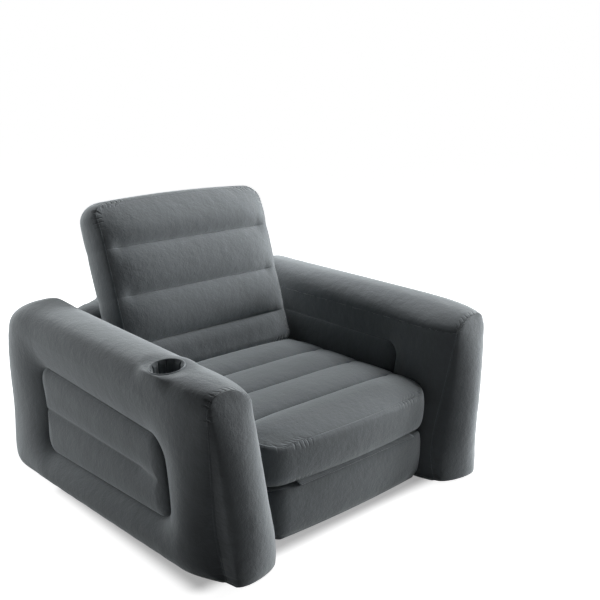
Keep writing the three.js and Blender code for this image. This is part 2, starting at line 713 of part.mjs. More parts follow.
// Frame web and middle web that tie the two windows of an arm together.
function armWebs(name, form, skin, side) {
  const group = new THREE.Group();
  const first = frontStationShares.length;
  const last = first + windowStationShares.length;
  const low = footLevelShares.length;
  const high = low + windowLevelShares.length;
  const weld = low + windowLevelShares.indexOf(midWeldShare);
  const inwards = side * beam.clearance;
  const outerEnd = (i, k) => skin.inside[form.loops[i][outerIndex(k)]].clone().add(point(-inwards, 0, 0));
  const innerEnd = (i, k) => skin.inside[form.loops[i][innerIndex(k)]].clone().add(point(inwards, 0, 0));
  const round = [];
  for (let i = first + 1; i < last; i += 1) round.push([i, low]);
  for (let k = low + 1; k < high; k += 1) round.push([last, k]);
  for (let i = last - 1; i > first; i -= 1) round.push([i, high]);
  for (let k = high - 1; k > low; k -= 1) round.push([first, k]);
  const inset = ([i, k]) => point(
    0,
    beam.thickness * ((i === first) - (i === last)),
    beam.thickness * ((k === low) - (k === high)),
  );
  const rings = [
    round.map((at) => outerEnd(...at)),
    round.map((at) => outerEnd(...at).add(inset(at))),
    round.map((at) => innerEnd(...at).add(inset(at))),
    round.map((at) => innerEnd(...at)),
  ];
  const count = round.length;
  const faces = [];
  rings.forEach((ring, r) => {
    const nextRing = (r + 1) % rings.length;
    for (let k = 0; k < count; k += 1) {
      const next = (k + 1) % count;
      const around = [r * count + k, nextRing * count + k, nextRing * count + next, r * count + next];
      // The outer wall is split the same way as the inner one, so they run side by side.
      faces.push(...(nextRing === 0 ? quad(...around.slice(1), around[0]) : quad(...around)));
    }
  });
  group.add(piece(`${name}_frame_web`, closedSolid(rings.flat(), faces), 'film'));
  const span = Array.from({ length: last - first - 1 }, (_, k) => first + 1 + k);
  const outerEdge = span.map((i) => outerEnd(i, weld));
  const innerEdge = span.map((i) => innerEnd(i, weld));
  group.add(piece(`${name}_middle_web`, webBetween(outerEdge, innerEdge, point(0, 0, beam.thickness)), 'film'));
  return group;
}

// Height of the top sheet of an arm at a distance x from the middle of the chair.
function armTop(x, y) {
  const outer = outerX(y, arm.shoulder);
  const inner = innerX(y, arm.innerSeam);
  const across = clamp((x - (outer + inner) / 2) / ((outer - inner) / 2), -1, 1);
  const angle = Math.acos(Math.sign(across) * Math.abs(across) ** (1 / arm.archPower));
  return archAt(y, angle / Math.PI)[1];
}

// Pleated liner of the cup well, its lip following the top of the arm.
function cupWell() {
  const steps = cup.pleats * pleatSteps;
  const floor = armTop(cup.x, cup.y) - cup.depth;
  const depthShares = [0, 0.15, 0.6, 1];
  const ringAt = (depthShare, inset, drop) => Array.from({ length: steps }, (_, k) => {
    const angle = (k / steps) * Math.PI * 2;
    const fold = cup.pleatDepth * Math.min(1, depthShare / depthShares[1]) * Math.cos(angle * cup.pleats);
    const radius = mix(cup.radius, cup.floorRadius, depthShare) - inset - Math.max(fold, 0);
    const x = cup.x + cup.radius * Math.cos(angle);
    const lip = armTop(x, cup.y + cup.radius * Math.sin(angle)) + cup.lip;
    const z = mix(lip, floor, depthShare) - drop * depthShare;
    return point(-cup.x + radius * Math.cos(angle), cup.y + radius * Math.sin(angle), z);
  });
  const inner = depthShares.map((share) => ringAt(share, cup.wall, 0)).reverse();
  const outer = depthShares.map((share) => ringAt(share, 0, cup.wall));
  const rings = [...inner, ...outer];
  const points = rings.flat();
  const faces = [];
  for (let r = 0; r < rings.length - 1; r += 1) {
    for (let k = 0; k < steps; k += 1) {
      const next = (k + 1) % steps;
      faces.push(...quad(r * steps + k, (r + 1) * steps + k, (r + 1) * steps + next, r * steps + next));
    }
  }
  const middle = points.push(point(-cup.x, cup.y, floor)) - 1;
  const under = points.push(point(-cup.x, cup.y, floor - cup.wall)) - 1;
  const lastRing = (rings.length - 1) * steps;
  for (let k = 0; k < steps; k += 1) {
    const next = (k + 1) % steps;
    faces.push([middle, k, next], [under, lastRing + next, lastRing + k]);
  }
  return piece('cup_well', closedSolid(points, faces), 'liner');
}

function buildArm(name, side) {
  const group = new THREE.Group();
  const form = armForm(side);
  const skin = skinOf(form);
  const holes = sleeves.filter(({ cutsArm }) => cutsArm === side).map(({ cutter }) => cutter);
  if (side < 0) {
    const place = point(-cup.x, cup.y, armTop(cup.x, cup.y));
    holes.push(roundCutter(cup.radius + sheet.clearance, place, zAxis, sheet.cutReach));
    group.add(cupWell());
  }
  group.add(piece(`${name}_skin`, wasm.Manifold.difference([skin.solid, ...holes]), 'flocked'));
  group.add(armWebs(name, form, skin, side));
  return group;
}

// An air sleeve between two places on one line, with the cutter of its holes.
function airSleeve(name, start, end, cuts) {
  const axis = end.clone().sub(start).normalize();
  const half = start.distanceTo(end) / 2;
  const place = start.clone().add(end).multiplyScalar(0.5);
  const bore = sleeve.radius - sleeve.wall;
  const outline = [[bore, -half], [sleeve.radius, -half], [sleeve.radius, half], [bore, half]];
  const tube = turned(outline, axis).translate(place.x, place.y, place.z);
  const cutter = roundCutter(sleeve.radius + sheet.clearance, place, axis, half + sheet.cutReach / 2);
  return { mesh: piece(name, tube, 'film'), cutter, ...cuts };
}

const sleeves = [-1, 1].flatMap((side) => {
  const word = side < 0 ? 'left' : 'right';
  const baseSide = base.halfWidth + base.sideBulge - sleeve.reach;
  const armFoot = innerX(sleeve.armBaseY, sleeve.baseHeight) + sleeve.reach;
  const backY = (leanPlaneY(sleeve.backHeight) + fixedBack.footRear) / 2;
  const backSide = backHalfWidth(sleeve.backHeight, false) + fixedBack.sideBulge - sleeve.reach;
  const armRear = innerX(backY, sleeve.backHeight) + sleeve.reach;
  const low = (x) => point(side * x, sleeve.armBaseY, sleeve.baseHeight);
  const high = (x) => point(side * x, backY, sleeve.backHeight);
  return [
    airSleeve(`${word}_base_sleeve`, low(baseSide), low(armFoot), { cutsBase: true, cutsArm: side }),
    airSleeve(`${word}_back_sleeve`, high(backSide), high(armRear), { cutsBack: true, cutsArm: side }),
  ];
});
const baseRear = baseFront + base.length;
sleeves.push(airSleeve(
  'rear_sleeve',
  point(0, baseRear - sleeve.reach, sleeve.baseHeight),
  point(0, leanPlaneY(sleeve.baseHeight) + fixedBack.seamInset + sleeve.reach, sleeve.baseHeight),
  { cutsBase: true, cutsBack: true },
));

// Holes that let air pass between the seat cushion and the back cushion at their strip.
const airHole = {
  radius: sleeve.radius / 2,
  inSeat: point(0, seat.length, seat.thickness / 2),
  inCushion: point(0, 0, backCushion.thickness / 2),
};

// One valve: everything is turned about the axis that points out of the skin.
function buildValve(name, place, axis) {
  const group = new THREE.Group();
  const gap = sheet.clearance;
  const baseTop = gap + valve.flangeThickness;
  const bodyTop = baseTop + gap + valve.flangeThickness;
  const plugRadius = valve.bodyBoreRadius - gap;
  const bodyRadius = valve.boreRadius - gap;
  const outlines = {
    base: [
      [valve.boreRadius, -valve.neckDepth],
      [valve.neckRadius, -valve.neckDepth],
      [valve.neckRadius, gap],
      [valve.flangeRadius, gap],
      [valve.flangeRadius, baseTop],
      [valve.boreRadius, baseTop],
    ],
    body: [
      [valve.bodyBoreRadius, -valve.bodyDepth],
      [bodyRadius, -valve.bodyDepth],
      [bodyRadius, baseTop + gap],
      [valve.bodyFlangeRadius, baseTop + gap],
      [valve.bodyFlangeRadius, bodyTop],
      [valve.bodyBoreRadius, bodyTop],
    ],
    flap: [
      [0, -valve.bodyDepth - gap - valve.flapThickness],
      [valve.flapRadius, -valve.bodyDepth - gap - valve.flapThickness],
      [valve.flapRadius, -valve.bodyDepth - gap],
      [0, -valve.bodyDepth - gap],
    ],
    cap: [
      [0, bodyTop - valve.plugDepth],
      [plugRadius, bodyTop - valve.plugDepth],
      [plugRadius, bodyTop + gap],
      [valve.capRadius, bodyTop + gap],
      [valve.capRadius, bodyTop + gap + valve.flangeThickness],
      [0, bodyTop + gap + valve.flangeThickness],
    ],
  };
  const tab = new THREE.BoxGeometry(valve.tabWidth, valve.flangeThickness, valve.tabLength * 2);
  tab.translate(0, bodyTop + gap + valve.flangeThickness / 2, valve.capRadius);
  tab.applyQuaternion(new THREE.Quaternion().setFromUnitVectors(yAxis, axis));
  for (const [part, outline] of Object.entries(outlines)) {
    const bare = turned(outline, axis);
    const solid = part === 'cap' ? bare.add(solidOfGeometry(tab)) : bare;
    group.add(piece(`${name}_${part}`, solid.translate(place.x, place.y, place.z), 'moulded'));
  }
  return group;
}

const chair = new THREE.Group();
chair.add(buildArm('left_arm', -1), buildArm('right_arm', 1), buildBase(), buildFixedBack());
chair.add(buildSeat(), buildBackCushion(), ...sleeves.map(({ mesh }) => mesh));

// The origin is the middle of the base's flat underside.
chair.position.y = -baseFront - base.length / 2;

export default chair;
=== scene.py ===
# Inflatable pull-out armchair, dressed over its CAD frame. Metres, Z up.

import json
import math

import bpy
import bmesh
import numpy as np
from mathutils import Matrix, Vector


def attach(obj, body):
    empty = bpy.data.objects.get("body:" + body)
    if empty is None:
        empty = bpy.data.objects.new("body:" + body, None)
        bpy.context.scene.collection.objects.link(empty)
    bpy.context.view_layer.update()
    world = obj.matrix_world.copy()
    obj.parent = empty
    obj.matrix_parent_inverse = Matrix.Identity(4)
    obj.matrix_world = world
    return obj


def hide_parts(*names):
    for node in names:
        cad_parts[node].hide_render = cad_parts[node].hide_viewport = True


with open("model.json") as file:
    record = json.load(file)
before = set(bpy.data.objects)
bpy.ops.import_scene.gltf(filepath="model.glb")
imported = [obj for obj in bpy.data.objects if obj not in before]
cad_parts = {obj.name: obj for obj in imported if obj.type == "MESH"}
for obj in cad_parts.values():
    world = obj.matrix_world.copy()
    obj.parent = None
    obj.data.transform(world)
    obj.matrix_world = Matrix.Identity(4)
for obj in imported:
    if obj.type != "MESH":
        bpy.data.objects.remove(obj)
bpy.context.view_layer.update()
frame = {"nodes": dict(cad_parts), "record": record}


def deselectAll():
    bpy.ops.object.select_all(action="DESELECT")


# node helpers

white = (1, 1, 1, 1)


def feed(tree, socket, value):
    if isinstance(value, bpy.types.NodeSocket):
        tree.links.new(value, socket)
    elif value is not None:
        socket.default_value = value


def addNode(tree, kind, inputs=None, **settings):
    node = tree.nodes.new("ShaderNode" + kind)
    for label, value in settings.items():
        setattr(node, label, value)
    for label, value in (inputs or {}).items():
        node.inputs[label].default_value = value
    return node


def addMath(tree, operation, first, second=None, third=None, clamp=False):
    node = addNode(tree, "Math", operation=operation, use_clamp=clamp)
    for socket, value in zip(node.inputs, (first, second, third)):
        feed(tree, socket, value)
    return node.outputs[0]


def addVector(tree, operation, first, second=None, scale=None):
    node = addNode(tree, "VectorMath", operation=operation)
    feed(tree, node.inputs[0], first)
    feed(tree, node.inputs[1], second)
    if scale is not None:
        tree.links.new(scale, node.inputs["Scale"])
    return node.outputs["Value" if operation == "LENGTH" else "Vector"]


def addNoise(tree, vector, scale, detail, roughness):
    node = addNode(tree, "TexNoise", {"Scale": scale, "Detail": detail, "Roughness": roughness})
    tree.links.new(vector, node.inputs["Vector"])
    return node.outputs["Fac"]


def objectPlace(tree):
    return addNode(tree, "TexCoord").outputs["Object"]


def markValue(tree, name):
    return addNode(tree, "Attribute", attribute_name=name).outputs["Fac"]


def clearedTree(owner):
    owner.use_nodes = True
    owner.node_tree.nodes.clear()
    return owner.node_tree


# camera and light

cameraSettings = {
    "place": (-1.593, -1.7455, 1.215),
    "target": (0.0, 0.1105, 0.25),
    "roll": -0.1,
    "lens": 49.66,
    "sensor": 36,
    "shift": (0.0718, 0.1463),
    "clipEnd": 60,
}


def addCamera(settings):
    place = Vector(settings["place"])
    look = Vector(settings["target"]) - place
    turn = look.to_track_quat("-Z", "Y").to_matrix().to_4x4()
    turn = turn @ Matrix.Rotation(math.radians(settings["roll"]), 4, "Z")
    bpy.ops.object.camera_add(location=place, rotation=turn.to_euler())
    camera = bpy.context.object
    camera.name = "photoCamera"
    camera.data.lens = settings["lens"]
    camera.data.sensor_width = settings["sensor"]
    camera.data.shift_x, camera.data.shift_y = settings["shift"]
    camera.data.clip_end = settings["clipEnd"]
    bpy.context.scene.camera = camera


# place and aim, edge of the square lamp, power in watts
lampSettings = {
    "rightLow": {"place": (3.2, -0.75, 0.7), "aim": (0.3, 0.0, 0.3), "size": 1.3, "power": 78},
    "rightTop": {"place": (1.9, 0.2, 2.7), "aim": (0.1, 0.1, 0.2), "size": 1.4, "power": 67},
    "backLow": {"place": (-0.6, 3.2, 1.3), "aim": (0.0, 0.2, 0.4), "size": 1.6, "power": 48},
    "leftBackLow": {"place": (-2.6, 2.4, 0.9), "aim": (-0.2, 0.2, 0.3), "size": 1.5, "power": 20},
    "frontRightLow": {"place": (2.5, -2.5, 0.9), "aim": (0.1, 0.0, 0.3), "size": 1.2, "power": 23},
}


def addLamp(name, settings):
    place = Vector(settings["place"])
    turn = (Vector(settings["aim"]) - place).to_track_quat("-Z", "Y").to_euler()
    bpy.ops.object.light_add(type="AREA", location=place, rotation=turn)
    lamp = bpy.context.object
    lamp.name = name
    lamp.data.shape = "SQUARE"
    lamp.data.size = settings["size"]
    lamp.data.energy = settings["power"]


# light that reaches the object, and the backdrop that camera, gloss and glass see
worldSettings = {"light": 0.0, "backdrop": 1.0}


def setWorld(settings):
    world = bpy.data.worlds.new("studio")
    tree = clearedTree(world)
    soft = addNode(tree, "Background", {"Color": white, "Strength": settings["light"]})
    seen = addNode(tree, "Background", {"Color": white, "Strength": settings["backdrop"]})
    rays = addNode(tree, "LightPath").outputs
    glossyToo = addMath(tree, "MAXIMUM", rays["Is Camera Ray"], rays["Is Glossy Ray"])
    clearToo = addMath(tree, "MAXIMUM", glossyToo, rays["Is Transmission Ray"])
    join = addNode(tree, "MixShader")
    for socket, source in zip(join.inputs, (clearToo, soft.outputs[0], seen.outputs[0])):
        tree.links.new(source, socket)
    tree.links.new(join.outputs[0], addNode(tree, "OutputWorld").inputs["Surface"])
    bpy.context.scene.world = world


# footprint is half the ground under the chair where the floor's glow is lowest, a painted contact shadow over
# the real one; the glow rises beside it, then in the open
floorSettings = {
    "size": 30.0, "below": 0.0005, "colour": (0.6, 0.6, 0.6), "footprint": (0.565, 0.325, 10.0),
    "paintedShadowGlow": 0.35, "besideGlow": 0.93, "besideRun": 0.06, "openGlow": 1.0, "openRun": 0.9,
}


def addFloor(settings):
    bpy.ops.mesh.primitive_plane_add(size=settings["size"], location=(0, 0, -settings["below"]))
    floor = bpy.context.object
    floor.name = "studioFloor"
    material = bpy.data.materials.new("paleFloor")
    tree = clearedTree(material)
    whole = addVector(tree, "ABSOLUTE", objectPlace(tree))
    past = addVector(tree, "SUBTRACT", whole, settings["footprint"])
    beyond = addVector(tree, "MAXIMUM", past, (0, 0, 0))
    reach = addVector(tree, "LENGTH", beyond)
    beside, under, middle = settings["besideRun"], settings["paintedShadowGlow"], settings["besideGlow"]
    glowSteps = []
    for start, run, low, high in (
        (0, beside, under, middle),
        (beside, settings["openRun"], 0, settings["openGlow"] - middle),
    ):
        ends = {"From Min": start, "From Max": start + run, "To Min": low, "To Max": high}
        spread = addNode(tree, "MapRange", ends, interpolation_type="SMOOTHSTEP")
        tree.links.new(reach, spread.inputs["Value"])
        glowSteps.append(spread.outputs["Result"])
    # the glow dips near the chair: a painted contact shadow added to the floor's real shadow
    level = addMath(tree, "ADD", *glowSteps)
    seen = addNode(tree, "LightPath").outputs["Is Camera Ray"]
    matte = addNode(tree, "BsdfDiffuse", {"Color": (*settings["colour"], 1)})
    glow = addNode(tree, "Emission", {"Color": white})
    tree.links.new(addMath(tree, "MULTIPLY", seen, level), glow.inputs["Strength"])
    join = addNode(tree, "AddShader")
    tree.links.new(matte.outputs[0], join.inputs[0])
    tree.links.new(glow.outputs[0], join.inputs[1])
    tree.links.new(join.outputs[0], addNode(tree, "OutputMaterial").inputs["Surface"])
    floor.data.materials.append(material)


deselectAll()
addCamera(cameraSettings)
for lampName, settings in lampSettings.items():
    addLamp(lampName, settings)
setWorld(worldSettings)
addFloor(floorSettings)
bpy.context.scene.view_settings.view_transform = "Standard"
print("camera, lamps and floor are set")


# finishes

def newGroup(name, inputs, outputs):
    group = bpy.data.node_groups.new(name, "ShaderNodeTree")
    for label, value in inputs.items():
        socket = group.interface.new_socket(label, in_out="INPUT", socket_type="NodeSocketFloat")
        socket.default_value = value
    for label in outputs:
        group.interface.new_socket(label, in_out="OUTPUT", socket_type="NodeSocketFloat")
    return group, group.nodes.new("NodeGroupInput").outputs, group.nodes.new("NodeGroupOutput").inputs


# each noise is scale per metre, detail and roughness; the height shares go into the pile's bump
pileSettings = {
    "pileScale": 1.0, "brush": 0.9, "speck": 0.6,
    "noises": {
        "pile": (620, 3, 0.6), "nap": (150, 3, 0.6), "strokes": (46, 4, 0.65), "patches": (11, 3, 0.55),
    },
    "heights": {"pile": 0.12, "nap": 0.3, "strokes": 0.75, "patches": 1.7},
}


def makeFlockGroup(settings):
    inputs = {"Pile scale": settings["pileScale"], "Brush": settings["brush"]}
    group, inside, out = newGroup("flockedPile", inputs, ("Tone", "Height"))
    vector = addVector(group, "SCALE", objectPlace(group), scale=inside["Pile scale"])
    noises = {name: addNoise(group, vector, *values) for name, values in settings["noises"].items()}
    broad = addMath(group, "ADD", noises["patches"], noises["strokes"])
    offset = addMath(group, "SUBTRACT", broad, 1.0)
    brushed = addMath(group, "MULTIPLY_ADD", offset, inside["Brush"], 1.0)
    speck = addMath(group, "SUBTRACT", noises["nap"], 0.5)
    group.links.new(addMath(group, "MULTIPLY_ADD", speck, settings["speck"], brushed), out["Tone"])
    height = 0.0
    for name, share in settings["heights"].items():
        height = addMath(group, "MULTIPLY_ADD", noises[name], share, height)
    group.links.new(height, out["Height"])
    return group


# a painted highlight along each weld, where its ridge catches the sheen, and painted shade in the valleys
# between channels
weldSettings = {
    "seamWidth": 0.0012, "seamHighlight": 0.7,
    "valleyWidth": 0.006, "valleyDark": 0.35, "valleyPower": 1.6,
}


def makeWeldGroup(settings):
    inputs = {"Seam width": settings["seamWidth"], "Valley width": settings["valleyWidth"]}
    group, inside, out = newGroup("weldLine", inputs, ("Shade", "Height"))
    seamShare = addMath(group, "DIVIDE", markValue(group, "fromSeam"), inside["Seam width"])
    seamLine = addMath(group, "MULTIPLY", seamShare, seamShare)
    seamMask = addMath(group, "SUBTRACT", 1.0, seamLine, clamp=True)
    valleyShare = addMath(group, "DIVIDE", markValue(group, "fromValley"), inside["Valley width"])
    valleyMask = addMath(group, "SUBTRACT", 1.0, valleyShare, clamp=True)
    valleySoft = addMath(group, "POWER", valleyMask, settings["valleyPower"])
    # painted highlight on the seam and painted shade in the valleys, both multiplied into the colour
    litSeam = addMath(group, "MULTIPLY_ADD", seamMask, settings["seamHighlight"], 1.0)
    shade = addMath(group, "MULTIPLY_ADD", valleySoft, -settings["valleyDark"], litSeam)
    group.links.new(shade, out["Shade"])
    group.links.new(seamMask, out["Height"])
    return group


# short folds that run off the seams where the sheet is gathered, with painted shade in their creases
gatherSettings = {
    "pitch": 0.0165, "reach": 0.017, "creaseShade": 0.6, "wander": (30, 2, 0.5), "wanderTurns": 1.1,
    "strength": (55, 2, 0.5), "strengthShare": 1.5, "threshold": 0.95, "steepness": 1.3, "fadePower": 0.8,
}


def makeGatherGroup(settings):
    inputs = {"Pitch": settings["pitch"], "Reach": settings["reach"], "Crease shade": settings["creaseShade"]}
    group, inside, out = newGroup("seamGathers", inputs, ("Shade", "Height"))
    place = objectPlace(group)
    wander = addNoise(group, place, *settings["wander"])
    turns = addMath(group, "DIVIDE", markValue(group, "alongSeam"), inside["Pitch"])
    shifted = addMath(group, "MULTIPLY_ADD", wander, settings["wanderTurns"], turns)
    wave = addMath(group, "SINE", addMath(group, "MULTIPLY", shifted, 2 * math.pi))
    strength = addNoise(group, place, *settings["strength"])
    cutoff = addMath(group, "MULTIPLY_ADD", strength, -settings["strengthShare"], settings["threshold"])
    stroke = addMath(group, "SUBTRACT", wave, cutoff)
    stroke = addMath(group, "MULTIPLY", stroke, settings["steepness"], clamp=True)
    away = addMath(group, "DIVIDE", markValue(group, "fromSeam"), inside["Reach"])
    fade = addMath(group, "SUBTRACT", 1.0, away, clamp=True)
    fade = addMath(group, "POWER", fade, settings["fadePower"])
    faded = addMath(group, "MULTIPLY", stroke, fade)
    amount = addMath(group, "MULTIPLY", faded, markValue(group, "gathered"))
    # painted shade in the fold creases, multiplied into the colour
    dark = addMath(group, "MULTIPLY", amount, inside["Crease shade"])
    group.links.new(addMath(group, "SUBTRACT", 1.0, dark), out["Shade"])
    group.links.new(addMath(group, "MULTIPLY", amount, -1.0), out["Height"])
    return group


def newMaterial(name, settings):
    material = bpy.data.materials.new(name)
    material.use_nodes = True
    shader = material.node_tree.nodes["Principled BSDF"]
    shader.inputs["Roughness"].default_value = settings["roughness"]
    return material, material.node_tree, shader


def colourBy(tree, shader, colour, tone):
    tree.links.new(addVector(tree, "SCALE", colour, scale=tone), shader.inputs["Base Color"])


flockSettings = {
    "colour": (0.0215, 0.0275, 0.0325), "roughness": 0.9, "specular": 0.25,
    "sheen": 1.0, "sheenRoughness": 0.7, "sheenTint": (0.90, 0.965, 1.0, 1),
    "pileDepth": 0.0022, "pileStrength": 0.8, "seamDepth": 0.0012, "foldDepth": 0.0026,
}
# the cup well wears the arm's flock painted about three times paler: painted light on a wall that sits in shade
cupLitFlockColour = (0.075, 0.088, 0.096)


def makeFlocked(name, settings, pile, weld=None, gathers=None):
    material, tree, shader = newMaterial(name, settings)
    shader.inputs["Specular IOR Level"].default_value = settings["specular"]
    shader.inputs["Sheen Weight"].default_value = settings["sheen"]
    shader.inputs["Sheen Roughness"].default_value = settings["sheenRoughness"]
    shader.inputs["Sheen Tint"].default_value = settings["sheenTint"]
    flock = addNode(tree, "Group", node_tree=pile)
    tone = flock.outputs["Tone"]
    bumps = {"Distance": settings["pileDepth"], "Strength": settings["pileStrength"]}
    relief = addNode(tree, "Bump", bumps)
    tree.links.new(flock.outputs["Height"], relief.inputs["Height"])
    for group, depth in ((weld, settings["seamDepth"]), (gathers, settings["foldDepth"])):
        if group is None:
            continue
        layer = addNode(tree, "Group", node_tree=group)
        tone = addMath(tree, "MULTIPLY", tone, layer.outputs["Shade"])
        fold = addNode(tree, "Bump", {"Distance": depth})
        tree.links.new(layer.outputs["Height"], fold.inputs["Height"])
        tree.links.new(relief.outputs[0], fold.inputs["Normal"])
        relief = fold
    colourBy(tree, shader, settings["colour"], tone)
    tree.links.new(relief.outputs[0], shader.inputs["Normal"])
    return material


filmSettings = {
    "colour": (0.045, 0.05, 0.055), "roughness": 0.55,
    "cloud": (24, 4, 0.6), "cloudShare": 0.24, "darkest": 0.88, "ripple": (260, 2, 0.5), "rippleDepth": 0.0003,
}
mouldedSettings = {**filmSettings, "colour": (0.03, 0.034, 0.038), "roughness": 0.42}


def makeFilm(name, settings):
    material, tree, shader = newMaterial(name, settings)
    place = objectPlace(tree)
    cloud = addNoise(tree, place, *settings["cloud"])
    tone = addMath(tree, "MULTIPLY_ADD", cloud, settings["cloudShare"], settings["darkest"])
    colourBy(tree, shader, settings["colour"], tone)
    bump = addNode(tree, "Bump", {"Distance": settings["rippleDepth"]})
    tree.links.new(addNoise(tree, place, *settings["ripple"]), bump.inputs["Height"])
    tree.links.new(bump.outputs[0], shader.inputs["Normal"])
    return material


pileGroup = makeFlockGroup(pileSettings)
weldGroup = makeWeldGroup(weldSettings)
gatherGroup = makeGatherGroup(gatherSettings)
flocked = makeFlocked("flockedVinyl", flockSettings, pileGroup, weldGroup, gatherGroup)
flockedWeb = makeFlocked("flockedWeb", flockSettings, pileGroup)
cupFlock = makeFlocked("cupFlock", {**flockSettings, "colour": cupLitFlockColour}, pileGroup)
film = makeFilm("vinylFilm", filmSettings)
moulded = makeFilm("mouldedVinyl", mouldedSettings)
print("finishes are made")


# forms: every skin is laid out as patches of points over its own seams

def mix(low, high, share):
    return low + (high - low) * share


def arch(share, power=1.0):
    return np.clip(4 * share * (1 - share), 0, 1) ** power


def smoothStep(low, high, value):
    share = np.clip((value - low) / (high - low), 0, 1)
    return share * share * (3 - 2 * share)


def easedLine(count):
    return 0.5 - 0.5 * np.cos(np.pi * np.linspace(0, 1, count))


def near(distance, reach):
    return np.clip(1 - distance / reach, 0, 1) ** 2


# waves that add up to an uneven ripple: stretch of the pitch, turn of the seed, offset, share
rippleWaves = ((1.0, 1.0, 0.0, 0.5), (2.37, 1.7, 0.8, 0.35), (0.61, 2.3, 2.1, 0.15))


def ripple(along, pitch, seed):
    waves = [
        share * np.sin(2 * np.pi * along / (pitch * stretch) + seed * turn + offset)
        for stretch, turn, offset, share in rippleWaves
    ]
    return sum(waves)


# gathers start a little off a seam and die out; at the last two distances no valley or seam is drawn
seamSettings = {
    "gatherStart": 0.004, "gatherReach": 0.03, "valleyReach": 0.016, "unmarked": 1.0, "plain": 0.05,
}


def startShare(fromSeam):
    return np.clip(fromSeam / seamSettings["gatherStart"], 0, 1)


def gatherAt(along, pitch, seed, fromSeam):
    return ripple(along, pitch, seed) * np.exp(-fromSeam / seamSettings["gatherReach"]) * startShare(fromSeam)


def pinchAt(fromValley):
    return np.exp(-(fromValley / seamSettings["valleyReach"]) ** 2)


def cornerInset(distance, radius):
    inside = np.clip(distance, 0, radius)
    return radius - np.sqrt(np.maximum(radius ** 2 - (radius - inside) ** 2, 0))


markNames = ("fromSeam", "fromValley", "alongSeam", "gathered")


def patch(points, fromSeam, fromValley=seamSettings["unmarked"], alongSeam=0.0, gathered=0.0):
    marks = (fromSeam, fromValley, alongSeam, gathered)
    marks = [np.broadcast_to(mark, points.shape[:2]) for mark in marks]
    return {"points": points, "marks": dict(zip(markNames, marks))}


def placePatches(patches, move):
    for one in patches:
        one["points"] = move(one["points"])
    return patches


mergeDistance = 2e-5
thinEdge = 1e-6


def smoothAndPaint(mesh, finish):
    mesh.polygons.foreach_set("use_smooth", [True] * len(mesh.polygons))
    mesh.materials.append(finish)


def buildSkin(name, patches):
    corners, faces = [], []
    marks = {label: [] for label in markNames}
    start = 0
    for one in patches:
        points = one["points"]
        rows, columns = points.shape[:2]
        corners.append(points.reshape(-1, 3))
        for label, values in marks.items():
            values.append(one["marks"][label].reshape(-1))
        ids = start + np.arange(rows * columns).reshape(rows, columns)
        quads = np.stack([ids[:-1, :-1], ids[:-1, 1:], ids[1:, 1:], ids[1:, :-1]], axis=-1)
        faces.append(quads.reshape(-1, 4))
        start += rows * columns
    mesh = bpy.data.meshes.new(name)
    mesh.from_pydata(np.concatenate(corners).tolist(), [], np.concatenate(faces).tolist())
    for label, values in marks.items():
        attribute = mesh.attributes.new(label, "FLOAT", "POINT")
        attribute.data.foreach_set("value", np.concatenate(values).astype(np.float32))
    shape = bmesh.new()
    shape.from_mesh(mesh)
    bmesh.ops.remove_doubles(shape, verts=shape.verts, dist=mergeDistance)
    bmesh.ops.dissolve_degenerate(shape, edges=shape.edges, dist=thinEdge)
    bmesh.ops.recalc_face_normals(shape, faces=shape.faces)
    shape.to_mesh(mesh)
    shape.free()
    smoothAndPaint(mesh, flocked)
    piece = bpy.data.objects.new(name, mesh)
    bpy.context.scene.collection.objects.link(piece)
    return piece


# the band between two facing sheets, from the first sheet's outline to the second one's

def outlineOf(grid):
    return np.concatenate([grid[0, :], grid[1:-1, -1], grid[-1, ::-1], grid[-2:0:-1, 0]])


def closedRing(grid):
    return np.concatenate([grid, grid[:, :1]], axis=1)


bandSteps = 22
bandTurn = 3  # points on either side that give the outline's direction


def bandPatch(sheets, along, up, bulgeAt, travel, gathered, power, limit=None):
    first, second = [outlineOf(sheet) for sheet in sheets]
    middle = (first + second) / 2
    run = np.roll(middle, -bandTurn, axis=0) - np.roll(middle, bandTurn, axis=0)
    run = run - np.outer(run @ up, up)
    outward = np.cross(run, up)
    outward /= np.linalg.norm(outward, axis=1)[:, None]
    if np.sum(outward * (middle - middle.mean(axis=0))) < 0:
        outward = -outward
    shares = easedLine(bandSteps)
    endShare = (outward @ along) ** 2
    rows = []
    for share in shares:
        points = mix(first, second, share)
        swell = bulgeAt(endShare, first) * arch(share, power)
        points = points + outward * swell[:, None]
        rows.append(limit(points) if limit else points)
    height = np.linalg.norm(first - second, axis=1)
    height = np.append(height, height[0])
    toSeam = np.minimum(shares, 1 - shares)[:, None] * height
    around = [np.append(outlineOf(mark), mark[0, 0])[None, :] for mark in (travel, gathered)]
    return patch(closedRing(np.stack(rows)), toSeam, seamSettings["unmarked"], *around)


# channelled sheets: rows over the channels, columns over the width, closer at seams and valleys

sheetRows = 24
sheetColumns = 74
channelSettings = {
    "crownPower": 0.85, "valleyPower": 0.66, "valleyAtSide": 0.3, "valleyFade": (0.006, 0.055),
    "sideFloor": 0.42, "sidePower": 6, "backEndRuns": (0.8, 0.8),
}
cornerSettings = {"fullTurn": 1.55, "reach": 0.012, "fade": 0.016}


def channelGrid(nodes):
    lines = [mix(low, high, easedLine(sheetRows))[:-1] for low, high in zip(nodes[:-1], nodes[1:])]
    shares = np.sin(np.pi / 2 * np.linspace(-1, 1, sheetColumns))
    return np.meshgrid(np.concatenate(lines + [[nodes[-1]]]), shares, indexing="ij")


